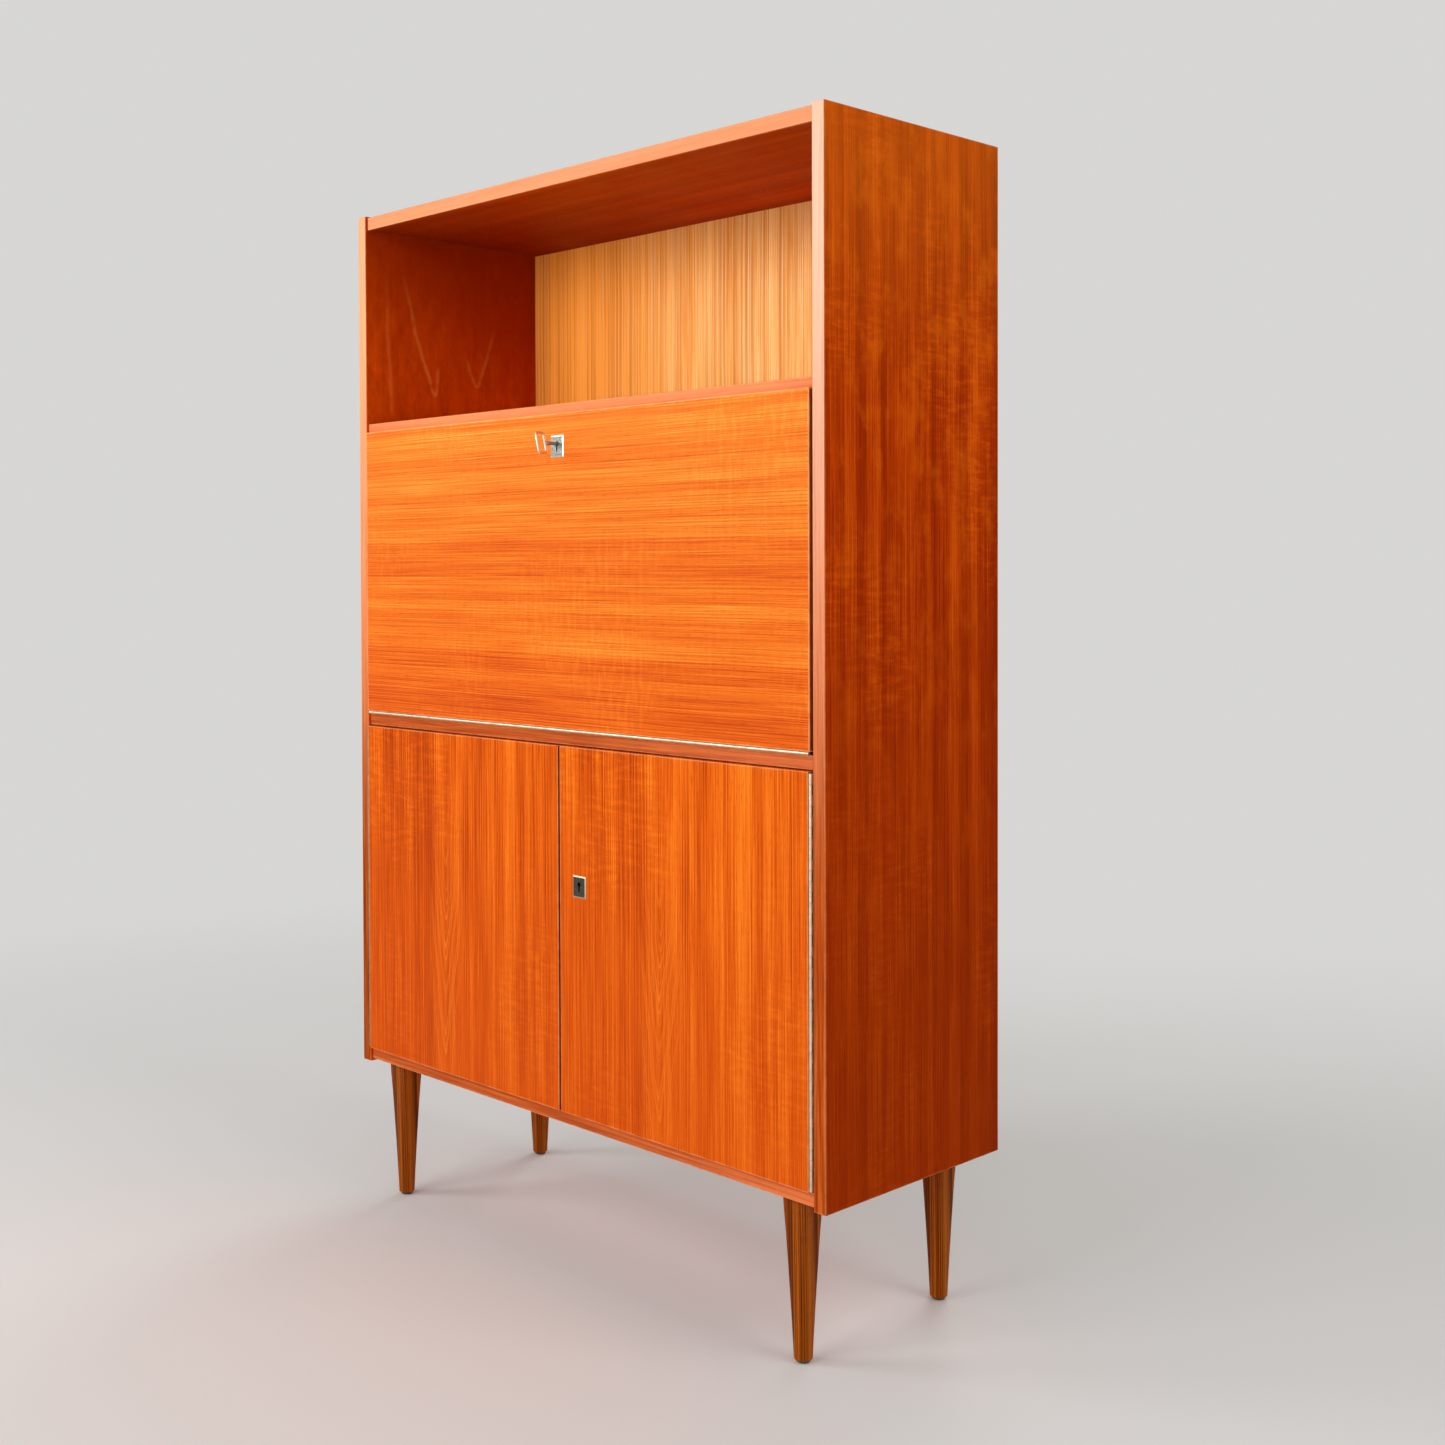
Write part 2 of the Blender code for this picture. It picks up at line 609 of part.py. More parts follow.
# ------------------------------------------------------------- locks
class Lock:
    """A cut-in lock: its keyhole's centre, its panel's two faces and its throw."""

    def __init__(self, x, z, face, inside, throw_axis, throw_sign):
        self.centre = (x, 0.0, z)
        self.face = face
        self.case_front = inside - CASE_DEPTH
        self.inside = inside
        self.throw_axis = throw_axis
        self.cross_axis = X_AXIS if throw_axis == Z_AXIS else Z_AXIS
        self.throw_sign = throw_sign

    def box(self, throw, half, depth):
        """Box from a range along the throw, a half width and a range in depth."""
        ranges = [None, [self.case_front + value for value in depth], None]
        ranges[self.throw_axis] = [
            self.centre[self.throw_axis] + self.throw_sign * value for value in throw
        ]
        middle = self.centre[self.cross_axis]
        ranges[self.cross_axis] = [middle - half, middle + half]
        return box_shape(*ranges)

    def rod(self, depth, radius):
        """Rod on the key's axis over a range in depth behind the case's front."""
        x, _, z = self.centre
        return rod_shape((x, self.case_front, z), Y_AXIS, depth, radius)

    def key_slot(self, depth, drop=KEYHOLE_SLOT_DROP):
        """Slot of the keyhole under its round part, over a range in depth."""
        x, _, z = self.centre
        along = [self.case_front + value for value in depth]
        return box_shape(
            (x - KEYHOLE_SLOT_HALF, x + KEYHOLE_SLOT_HALF),
            along,
            (z - drop, z),
        )


FLAP_LOCK = Lock(0.0, FLAP_KEY_Z, FLAP_FACE, FLAP_INSIDE, Z_AXIS, 1)
DOOR_LOCK = Lock(
    DOOR_MEETING + LOCK_BACKSET, SIDE_LOW + DOOR_LOCK_HEIGHT, DOOR_FACE, DOOR_INSIDE, X_AXIS, -1
)


def bolt_mortise(lock, edge_gap):
    """Room for a lock's thrown bolt in the board across an edge gap."""
    throw = (LOCK_BACKSET + edge_gap / 2, LOCK_BACKSET - BOLT_SHY + LOCK_THROW + SEAT)
    depth = (BOLT_FRONT - SEAT, BOLT_FRONT + BOLT_THICK + SEAT)
    return lock.box(throw, BOLT_HALF + SEAT, depth)


def cut_lock_seat(panel, lock):
    """Pocket for the case and keyhole through the face of a flap or door."""
    throw = (-CASE_TAIL - SEAT, LOCK_BACKSET + THROUGH)
    pocket = lock.box(throw, CASE_HALF + SEAT, (-SEAT, CASE_DEPTH + THROUGH))
    cut(panel, pocket, "lock_pocket")
    depth = (lock.face - THROUGH - lock.case_front, THROUGH)
    cut(panel, lock.rod(depth, KEYHOLE_RADIUS), "keyhole")
    cut(panel, lock.key_slot(depth), "keyhole_slot")


def make_lock(name, lock, body, bolt_body):
    case = lock.box((-CASE_TAIL, LOCK_BACKSET - SEAT), CASE_HALF, (0.0, CASE_DEPTH - SEAT))
    case = new_piece(f"{name}_lock_case", case, STEEL, body)
    depth = (BOLT_FRONT - SEAT, BOLT_FRONT + BOLT_THICK + SEAT)
    throw = (-BOLT_TAIL - SEAT, LOCK_BACKSET + THROUGH)
    cut(case, lock.box(throw, BOLT_HALF + SEAT, depth), "bolt_channel")
    cut(case, lock.rod((CASE_WALL, BOLT_FRONT + SEAT), BIT_ROOM_RADIUS), "bit_room")
    front_wall = (-THROUGH, CASE_WALL + SEAT)
    cut(case, lock.rod(front_wall, KEY_SHANK_RADIUS + SEAT), "keyhole")
    cut(case, lock.key_slot(front_wall, KEY_BIT_DROP + SEAT), "keyhole_slot")

    throw = (-BOLT_TAIL, LOCK_BACKSET - BOLT_SHY)
    bolt = lock.box(throw, BOLT_HALF, (BOLT_FRONT, BOLT_FRONT + BOLT_THICK))
    new_piece(f"{name}_lock_bolt", bolt, BRASS, bolt_body)

    x, _, z = lock.centre
    back = lock.face - SEAT
    plate = box_shape(
        (x - PLATE_HALF_WIDTH, x + PLATE_HALF_WIDTH),
        (back - PLATE_THICK, back),
        (z - PLATE_DROP - PLATE_HALF_HEIGHT, z - PLATE_DROP + PLATE_HALF_HEIGHT),
        PLATE_THICK / 4,
    )
    plate = new_piece(f"{name}_escutcheon", plate, NICKEL, body)
    depth = (back - PLATE_THICK - THROUGH - lock.case_front, back + THROUGH - lock.case_front)
    cut(plate, lock.rod(depth, KEYHOLE_RADIUS), "keyhole")
    cut(plate, lock.key_slot(depth), "keyhole_slot")


def lean(shape):
    """Turn a shape by the key's lean, about the key's own axis."""
    turn = Matrix.Rotation(KEY_LEAN, 3, "Y")
    bmesh.ops.rotate(shape, verts=shape.verts[:], cent=FLAP_LOCK.centre, matrix=turn)
    return shape


def make_key(key_body):
    """Key with an open rectangular bow, standing in the flap's lock."""
    front = FLAP_FACE - KEY_REACH
    bow_rear = front + KEY_BOW_DEPTH
    shape = box_shape(
        (-KEY_BOW_THICK / 2, KEY_BOW_THICK / 2),
        (front, bow_rear),
        (FLAP_KEY_Z - KEY_BOW_HALF_HEIGHT, FLAP_KEY_Z + KEY_BOW_HALF_HEIGHT),
        KEY_BOW_THICK / 5,
    )
    key = new_piece("flap_key", lean(shape), NICKEL, key_body)
    window_half = KEY_BOW_HALF_HEIGHT - KEY_BOW_BAR
    window = box_shape(
        (-KEY_BOW_THICK, KEY_BOW_THICK),
        (front + KEY_BOW_BAR, bow_rear - KEY_BOW_BAR),
        (FLAP_KEY_Z - window_half, FLAP_KEY_Z + window_half),
    )
    cut(key, lean(window), "bow_window")
    bow_mid = bow_rear - KEY_BOW_BAR / 2
    tip = FLAP_LOCK.case_front + BOLT_FRONT - 2 * SEAT
    centre = (0.0, bow_mid, FLAP_KEY_Z)
    collar_end = KEY_BOW_BAR / 2 + KEY_COLLAR_LENGTH
    stations = [
        (0.0, KEY_BOW_BAR / 2 - SEAT),
        (KEY_BOW_BAR / 2, KEY_COLLAR_RADIUS),
        (collar_end, KEY_COLLAR_RADIUS),
        (collar_end, KEY_SHANK_RADIUS),
        (tip - bow_mid, KEY_SHANK_RADIUS),
    ]
    add(key, turned_shape(centre, Y_AXIS, stations, 16), "shank")
    bit = box_shape(
        (-KEY_BIT_HALF, KEY_BIT_HALF),
        (FLAP_LOCK.case_front + CASE_WALL + SEAT, tip - SEAT),
        (FLAP_KEY_Z - KEY_BIT_DROP, FLAP_KEY_Z),
    )
    add(key, lean(bit), "bit")


# ------------------------------------------------------------- flap and its stays
def stay_angles():
    """Angles of the stud and of the closed flap's pivot, seen from the hinge pin."""
    stud = math.atan2(STUD_Z - FLAP_PIN_Z, STUD_Y - FLAP_PIN_Y)
    pivot = math.atan2(STAY_PIVOT_Z - FLAP_PIN_Z, STAY_PIVOT_Y - FLAP_PIN_Y)
    return stud, pivot


def stay_reaches():
    """Pivot to stud with the flap shut and with it open: a chord of one circle."""
    stud, pivot = stay_angles()
    shut = 2 * STAY_RADIUS * math.sin((pivot - stud) / 2)
    opened = 2 * STAY_RADIUS * math.sin((pivot - stud + FLAP_SWING) / 2)
    return shut, opened


def make_stay(side_name, carcass, flap, stay_body):
    side = SIDES[side_name]
    stud_angle, pivot_angle = stay_angles()
    heading = (stud_angle + pivot_angle) / 2 - math.pi / 2
    shut, opened = stay_reaches()
    start = (STAY_PIVOT_Y, STAY_PIVOT_Z)
    across = (side * STAY_INNER, side * STAY_OUTER)
    past = (side * (STAY_INNER - THROUGH), side * (STAY_OUTER + THROUGH))
    shape = bar_shape(start, heading, (0.0, opened + SEAT), STAY_HALF, across)
    bar = new_piece(f"stay_bar_{side_name}", shape, NICKEL, stay_body)
    slot = bar_shape(start, heading, (shut - SEAT, opened + SEAT), STUD_RADIUS + SEAT, past)
    cut(bar, slot, "slot")
    pivot = (0.0, STAY_PIVOT_Y, STAY_PIVOT_Z)
    cut(bar, rod_shape(pivot, X_AXIS, past, RIVET_RADIUS + SEAT), "rivet_hole")

    lug_outer = STAY_INNER - SEAT
    lug_inner = lug_outer - BRACKET_THICK
    foot = box_shape(
        (side * (lug_outer - BRACKET_WIDTH), side * lug_outer),
        (FLAP_INSIDE + SEAT, FLAP_INSIDE + SEAT + BRACKET_THICK),
        (STAY_PIVOT_Z - BRACKET_HALF_HEIGHT, STAY_PIVOT_Z + BRACKET_HALF_HEIGHT),
    )
    bracket = new_piece(f"stay_bracket_{side_name}", foot, NICKEL, flap)
    lug_foot = FLAP_INSIDE + SEAT + BRACKET_THICK / 2 - STAY_PIVOT_Y
    lug = bar_shape(start, 0.0, (lug_foot, 0.0), LUG_HALF, (side * lug_inner, side * lug_outer))
    squared = box_shape(
        (side * (lug_inner - THROUGH), side * (lug_outer + THROUGH)),
        (FLAP_INSIDE - STAY_HALF - LUG_HALF, FLAP_INSIDE + SEAT),
        (STAY_PIVOT_Z - 2 * LUG_HALF, STAY_PIVOT_Z + 2 * LUG_HALF),
    )
    add(bracket, lug, "lug")
    cut(bracket, squared, "lug_trim")
    head = STAY_OUTER + SEAT
    stations = [
        (side * (lug_inner + SEAT), RIVET_RADIUS),
        (side * head, RIVET_RADIUS),
        (side * head, RIVET_HEAD_RADIUS),
        (side * (head + RIVET_HEAD_THICK), RIVET_HEAD_RADIUS),
    ]
    add(bracket, turned_shape(pivot, X_AXIS, stations, 16), "rivet")

    collar_end = STAY_OUTER + SEAT
    neck_end = STAY_INNER - SEAT
    stations = [
        (side * (INNER + STUD_IN_SIDE), STUD_RADIUS),
        (side * (INNER - SEAT), STUD_RADIUS),
        (side * (INNER - SEAT), STUD_COLLAR_RADIUS),
        (side * collar_end, STUD_COLLAR_RADIUS),
        (side * collar_end, STUD_RADIUS),
        (side * neck_end, STUD_RADIUS),
        (side * neck_end, STUD_HEAD_RADIUS),
        (side * (neck_end - STUD_HEAD_THICK), STUD_HEAD_RADIUS),
    ]
    stud = turned_shape((0.0, STUD_Y, STUD_Z), X_AXIS, stations, 16)
    new_piece(f"stay_stud_{side_name}", stud, NICKEL, carcass, smooth=True)


def make_flap(carcass, flap):
    across = (-FLAP_HALF, FLAP_HALF)
    shape = box_shape(across, (FLAP_FACE, FLAP_INSIDE), (FLAP_LOW, FLAP_TOP), EDGE_EASE)
    panel = new_piece("flap_panel", shape, TEAK_FRONT, flap)
    cut_lock_seat(panel, FLAP_LOCK)
    make_flap_hinge(carcass, flap)
    make_lock("flap", FLAP_LOCK, flap, new_body("flap_bolt_body", parent=flap))
    key_place = (0.0, FLAP_FACE, FLAP_KEY_Z)
    make_key(new_body("flap_key_body", key_place, flap))
    for side_name, side in SIDES.items():
        pivot = (side * STAY_INNER, STAY_PIVOT_Y, STAY_PIVOT_Z)
        stay_body = new_body(f"stay_{side_name}_body", pivot, flap)
        make_stay(side_name, carcass, flap, stay_body)


# ------------------------------------------------------------- doors
def make_door(side_name, carcass):
    side = SIDES[side_name]
    door = new_body(f"{side_name}_door_body", (side * DOOR_PIN_X, DOOR_PIN_Y, DOOR_LOW), carcass)
    across = (side * DOOR_MEETING, side * DOOR_OUTER)
    shape = box_shape(across, (DOOR_FACE, DOOR_INSIDE), (DOOR_LOW, DOOR_TOP), EDGE_EASE)
    panel = new_piece(f"{side_name}_door_panel", shape, TEAK_FRONT, door)
    make_door_hinge(side_name, carcass, door)
    return door, panel


def make_doors(carcass):
    door, panel = make_door("right", carcass)
    cut_lock_seat(panel, DOOR_LOCK)
    make_lock("door", DOOR_LOCK, door, new_body("door_bolt_body", parent=door))

    door, panel = make_door("left", carcass)
    cut(panel, bolt_mortise(DOOR_LOCK, DOOR_MEETING_GAP), "bolt_mortise")
    make_surface_bolt(door)


def make_surface_bolt(door):
    """Bolt inside the left door's upper corner, shot up into the desk board."""
    housing_top = DOOR_TOP - CATCH_BELOW_TOP
    housing = box_shape(
        (CATCH_X - CATCH_HALF_WIDTH, CATCH_X + CATCH_HALF_WIDTH),
        (CATCH_FRONT, CATCH_FRONT + CATCH_DEPTH),
        (housing_top - CATCH_LENGTH, housing_top),
        EDGE_EASE,
    )
    housing = new_piece("left_bolt_housing", housing, NICKEL, door)
    channel = box_shape(
        (CATCH_X - CATCH_BAR_HALF - SEAT, CATCH_X + CATCH_BAR_HALF + SEAT),
        (CATCH_BAR_FRONT - SEAT, CATCH_BAR_FRONT + CATCH_BAR_DEPTH + SEAT),
        (housing_top - CATCH_LENGTH - THROUGH, housing_top + THROUGH),
    )
    cut(housing, channel, "channel")
    bar = box_shape(
        (CATCH_X - CATCH_BAR_HALF, CATCH_X + CATCH_BAR_HALF),
        (CATCH_BAR_FRONT, CATCH_BAR_FRONT + CATCH_BAR_DEPTH),
        (housing_top - CATCH_LENGTH - CATCH_BAR_TAIL, CATCH_TIP),
    )
    new_piece("left_bolt_bar", bar, NICKEL, new_body("left_bolt_body", parent=door))


# ------------------------------------------------------------- inside the cupboard
def make_cupboard_shelf(carcass):
    half = INNER - CUPBOARD_SHELF_PLAY
    along = (CUPBOARD_SHELF_FRONT, BOARD_REAR - CUPBOARD_SHELF_PLAY)
    up = (CUPBOARD_SHELF_LOW, CUPBOARD_SHELF_LOW + SHELF_BOARD)
    new_piece("cupboard_shelf", box_shape((-half, half), along, up, EDGE_EASE), PALE_WOOD, carcass)
    for side_name, side in SIDES.items():
        for end, place in zip(("front", "rear"), shelf_pin_places(side)):
            reach = (-side * SHELF_PIN_OUT, side * SHELF_PIN_IN_SIDE)
            pin = rod_shape(place, X_AXIS, reach, SHELF_PIN_RADIUS, 12)
            new_piece(f"shelf_pin_{end}_{side_name}", pin, STEEL, carcass, smooth=True)


# ------------------------------------------------------------- inside the desk
def make_desk_bays(carcass):
    half = INNER - SEAT
    along = (BAY_FRONT, BOARD_REAR)
    shape = box_shape((-half, half), along, (BAY_LOW - INNER_BOARD, BAY_LOW), EDGE_EASE)
    new_piece("inner_shelf", shape, TEAK_EDGE, carcass)
    for side_name, side in SIDES.items():
        middle = side * DIVIDER_AT
        across = (middle - INNER_BOARD / 2, middle + INNER_BOARD / 2)
        up = (BAY_LOW + SEAT, DISPLAY_LOW - SEAT)
        new_piece(f"divider_{side_name}", box_shape(across, along, up), TEAK_EDGE, carcass)


def make_drawer(side_name, drawer):
    side = SIDES[side_name]
    low = BAY_LOW + SEAT
    front_rear = DRAWER_FACE + DRAWER_FRONT_THICK
    across = (side * DRAWER_INNER, side * DRAWER_OUTER)
    up = (low + DRAWER_PLAY, DISPLAY_LOW - DRAWER_PLAY)
    shape = box_shape(across, (DRAWER_FACE, front_rear), up, EDGE_EASE)
    front = new_piece(f"drawer_front_{side_name}", shape, TEAK_FRONT, drawer)
    middle = side * DRAWER_MIDDLE
    centre = (middle, DRAWER_FACE, (up[0] + up[1]) / 2)
    reach = (-THROUGH, DRAWER_FRONT_THICK + THROUGH)
    cut(front, rod_shape(centre, Y_AXIS, reach, KNOB_SHANK_RADIUS + SEAT, 12), "knob_hole")

    tray_front = front_rear + SEAT
    tray_rear = BOARD_REAR - DRAWER_REAR_ROOM
    outer_half = (DRAWER_OUTER - DRAWER_INNER) / 2 - DRAWER_PLAY
    tray = box_shape(
        (middle - outer_half, middle + outer_half),
        (tray_front, tray_rear),
        (low, low + DRAWER_TRAY_HEIGHT),
    )
    tray = new_piece(f"drawer_tray_{side_name}", tray, PALE_WOOD, drawer)
    inner_half = outer_half - DRAWER_WALL
    room = box_shape(
        (middle - inner_half, middle + inner_half),
        (tray_front + DRAWER_WALL, tray_rear - DRAWER_WALL),
        (low + DRAWER_FLOOR, low + DRAWER_TRAY_HEIGHT + THROUGH),
    )
    cut(tray, room, "room")

    stations = [
        (-KNOB_LENGTH, KNOB_RADIUS * 0.6),
        (-KNOB_LENGTH * 0.9, KNOB_RADIUS),
        (-KNOB_LENGTH * 0.6, KNOB_RADIUS * 0.9),
        (-KNOB_LENGTH * 0.35, KNOB_NECK_RADIUS),
        (-SEAT, KNOB_NECK_RADIUS),
        (-SEAT, KNOB_SHANK_RADIUS),
        (DRAWER_FRONT_THICK - SEAT, KNOB_SHANK_RADIUS),
    ]
    knob = turned_shape(centre, Y_AXIS, stations, 16)
    new_piece(f"drawer_knob_{side_name}", knob, NICKEL, drawer, smooth=True)


# ------------------------------------------------------------- assembly
def build():
    clear_scene()
    carcass = new_body("carcass_body")
    for side_name in SIDES:
        make_side(side_name, carcass)
    make_boards(carcass)
    for place in LEG_PLACES:
        make_leg(place, carcass)
    make_flap(carcass, new_body("flap_body", (0.0, FLAP_PIN_Y, FLAP_PIN_Z), carcass))
    make_doors(carcass)
    make_cupboard_shelf(carcass)
    make_desk_bays(carcass)
    for side_name, side in SIDES.items():
        place = (side * DRAWER_MIDDLE, DRAWER_FACE, BAY_LOW)
        make_drawer(side_name, new_body(f"drawer_{side_name}_body", place, carcass))


build()
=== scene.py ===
# %% [markdown]
# # Finishing a secretary desk in Blender
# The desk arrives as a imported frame: every board, hinge leaf, lock and drawer already
# has its exact shape, its place in metres and the body that it moves with.
# This lesson gives each of them its wood or metal, makes the small fittings that the
# frame only blocks out, and sets up a floor, lamps and a camera.

# %% Load the frame
import json
import math

import bmesh
import bpy
from mathutils import Matrix, Vector


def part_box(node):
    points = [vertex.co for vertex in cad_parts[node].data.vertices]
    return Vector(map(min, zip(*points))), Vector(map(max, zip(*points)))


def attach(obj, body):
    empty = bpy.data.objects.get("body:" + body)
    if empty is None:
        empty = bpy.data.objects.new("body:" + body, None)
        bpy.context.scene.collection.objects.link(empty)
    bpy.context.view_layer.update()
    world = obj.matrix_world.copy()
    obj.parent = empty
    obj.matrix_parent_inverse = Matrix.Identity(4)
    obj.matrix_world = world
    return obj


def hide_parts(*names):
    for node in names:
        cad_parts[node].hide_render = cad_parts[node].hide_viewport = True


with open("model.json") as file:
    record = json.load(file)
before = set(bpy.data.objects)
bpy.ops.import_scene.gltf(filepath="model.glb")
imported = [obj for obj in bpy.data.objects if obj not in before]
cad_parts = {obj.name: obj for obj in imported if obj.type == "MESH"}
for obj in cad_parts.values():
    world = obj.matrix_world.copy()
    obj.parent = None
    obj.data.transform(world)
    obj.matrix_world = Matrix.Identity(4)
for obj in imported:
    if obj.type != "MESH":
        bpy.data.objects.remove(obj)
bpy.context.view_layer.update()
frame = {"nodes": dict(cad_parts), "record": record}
NODES = frame["nodes"]

# %% [markdown]
# ## Reading places from the frame
# Nothing is placed by eye.

# %% Corners, pins and bodies
def corners(node):
    """Lowest and highest corner of one solid."""
    low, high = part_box(node)
    return Vector(low), Vector(high)


def pin_of(joint_name):
    """The point that a hinge joint turns about."""
    joints = frame["record"]["behaviour"]["joints"]
    return Vector(next(joint["pos_m"] for joint in joints if joint["name"] == joint_name))


BODY_OF = {
    node: body
    for body, members in frame["record"]["behaviour"]["bodies"].items()
    for node in members
}
print(f"flap pin at {tuple(round(value, 4) for value in pin_of('flap_hinge'))}")

# %% [markdown]
# ## Sums that read as sums
# A finish is a tree of nodes, and most of them are Math nodes. They could be added and wired
# one by one, but a sum of three numbers then takes nine lines. A small class stands for the
# output of a node instead, so that a plus sign between two of them adds a Math node.

# %% A value that can be reckoned with
class Value:
    """A number, place or colour that changes over a surface."""

    def __init__(self, tree, socket):
        self.tree = tree
        self.socket = socket

    def __add__(self, other):
        return maths("ADD", self, other)

    def __sub__(self, other):
        return maths("SUBTRACT", self, other)

    def __rsub__(self, other):
        return maths("SUBTRACT", other, self)

    def __mul__(self, other):
        return maths("MULTIPLY", self, other)

    def __truediv__(self, other):
        return maths("DIVIDE", self, other)

    def __pow__(self, other):
        return maths("POWER", self, other)

    def __abs__(self):
        return maths("ABSOLUTE", self)


# %% Adding nodes
def fill(tree, socket, value):
    """Wire a value into a socket, or write a plain number or colour there."""
    value = getattr(value, "socket", value)
    if isinstance(value, bpy.types.NodeSocket):
        tree.links.new(value, socket)
    else:
        socket.default_value = value


def feed(node, inputs):
    """Fill several inputs of a node."""
    for key, value in inputs.items():
        fill(node.id_data, node.inputs[key], value)


def add_node(tree, kind, inputs=None, **settings):
    """A new node with its settings and inputs."""
    made = tree.nodes.new(f"ShaderNode{kind}")
    for key, value in settings.items():
        setattr(made, key, value)
    feed(made, inputs or {})
    return made


def result(tree, kind, inputs=None, output=0, **settings):
    """One output of a new node, as a Value."""
    return Value(tree, add_node(tree, kind, inputs, **settings).outputs[output])


# %% Sums on numbers
def maths(operation, first, second=0.0):
    """The result of one sum; at least one of the two is a Value."""
    tree = first.tree if isinstance(first, Value) else second.tree
    return result(tree, "Math", {0: first, 1: second}, operation=operation)


def lesser(first, second):
    """The smaller of two."""
    return maths("MINIMUM", first, second)


def greater(first, second):
    """The larger of two."""
    return maths("MAXIMUM", first, second)


def clamped(value):
    """Keep the result of a sum from 0 to 1."""
    value.socket.node.use_clamp = True
    return value


def stretch(value, low, high, to_low=0.0, to_high=1.0):
    """Map a value from one range to another, smoothly and without overshoot."""
    inputs = {"Value": value, "From Min": low, "From Max": high, "To Min": to_low, "To Max": to_high}
    return result(value.tree, "MapRange", inputs, interpolation_type="SMOOTHSTEP")


# %% Sums on places
def vector_maths(operation, first, second):
    """The result of one sum on two places."""
    return result(first.tree, "VectorMath", {0: first, 1: second}, operation=operation)


def split(place):
    """The three numbers of a place."""
    made = add_node(place.tree, "SeparateXYZ", {0: place})
    return [Value(place.tree, socket) for socket in made.outputs]


def facing(source, axis):
    """How far a face looks along one axis, from -1 to 1."""
    return split(result(source.tree, "TexCoord", output="Normal"))["XYZ".index(axis)]


def noise(place, scale, detail=2.0, roughness=0.5):
    """Noise from 0 to 1. scale is in cells per metre: one for all axes, or one for each."""
    if isinstance(scale, tuple):
        place = vector_maths("MULTIPLY", place, scale)
        scale = 1.0
    inputs = {"Vector": place, "Scale": scale, "Detail": detail, "Roughness": roughness}
    return result(place.tree, "TexNoise", inputs)


def noise_along(value, detail, roughness):
    """Noise along a single number, for rings and stripes."""
    inputs = {"W": value, "Scale": 1.0, "Detail": detail, "Roughness": roughness}
    return result(value.tree, "TexNoise", inputs, noise_dimensions="1D")


# %% Colours
def mix_colour(share, first, second):
    """One colour out of two."""
    made = add_node(share.tree, "Mix", data_type="RGBA")
    sockets = {socket.identifier: socket for socket in made.inputs}
    for key, value in (("Factor_Float", share), ("A_Color", first), ("B_Color", second)):
        fill(share.tree, sockets[key], value if isinstance(value, Value) else (*value, 1.0))
    mixed = next(socket for socket in made.outputs if socket.identifier == "Result_Color")
    return Value(share.tree, mixed)


def ramp(value, stops, interpolation="LINEAR"):
    """A colour ramp through (position, colour) stops."""
    made = add_node(value.tree, "ValToRGB", {0: value})
    made.color_ramp.interpolation = interpolation
    marks = made.color_ramp.elements
    while len(marks) < len(stops):
        marks.new(0.5)
    for mark, (position, colour) in zip(marks, stops):
        mark.position = position
        mark.color = (*colour, 1.0)
    return Value(value.tree, made.outputs["Color"])


def palette(value, colours):
    """A ramp through four colours, spread evenly over what the figure gives."""
    last = len(colours) - 1
    stops = [(0.08 + 0.84 * index / last, colour) for index, colour in enumerate(colours)]
    return ramp(value, stops)


# %% [markdown]
# ## Groups and materials
# An effect that many finishes share is made once, as a group with named inputs and outputs.
# A material starts with its shader and with the place on the object at rest, in metres, so
# that a finish has its real size on every board and moves with the board.

# %% Open a group, place it, start a material
def new_group(name, inputs, outputs):
    """An empty node group: itself, its inputs as values, and its output node."""
    tree = bpy.data.node_groups.new(name, "ShaderNodeTree")
    for label, value in inputs.items():
        kind = "NodeSocketVector" if isinstance(value, tuple) else "NodeSocketFloat"
        socket = tree.interface.new_socket(label, in_out="INPUT", socket_type=kind)
        socket.default_value = value
    for label in outputs:
        tree.interface.new_socket(label, in_out="OUTPUT", socket_type="NodeSocketFloat")
    given = tree.nodes.new("NodeGroupInput").outputs
    into = {label: Value(tree, given[label]) for label in inputs}
    return tree, into, tree.nodes.new("NodeGroupOutput")


def use_group(tree, group, inputs):
    """The outputs of a group placed in a material with values of its own."""
    made = add_node(tree, "Group", inputs, node_tree=group)
    return {socket.name: Value(tree, socket) for socket in made.outputs}


def new_material(name):
    """A material, its shader, and the place on the object at rest."""
    material = bpy.data.materials.new(name)
    material.use_nodes = True
    source = result(material.node_tree, "TexCoord", output="Object")
    return material, material.node_tree.nodes["Principled BSDF"], source


def bump(height, strength, distance):
    """A normal that follows a shallow relief; distance is in metres."""
    return result(height.tree, "Bump", {"Height": height, "Strength": strength, "Distance": distance})


# %% [markdown]
# ## The figure of a veneer
# Teak veneer is a slice through growth rings. Where the slice passes the heart of the log
# the rings show as nested arches, and away from it as nearly straight lines. One formula
# gives both: a ring's radius, plus a little taper along the log, plus some wander. The
# group turns that radius into broad bands and fine lines, and adds fibres, pores, clouds
# and the soft cross ripple that interlocked grain shows.

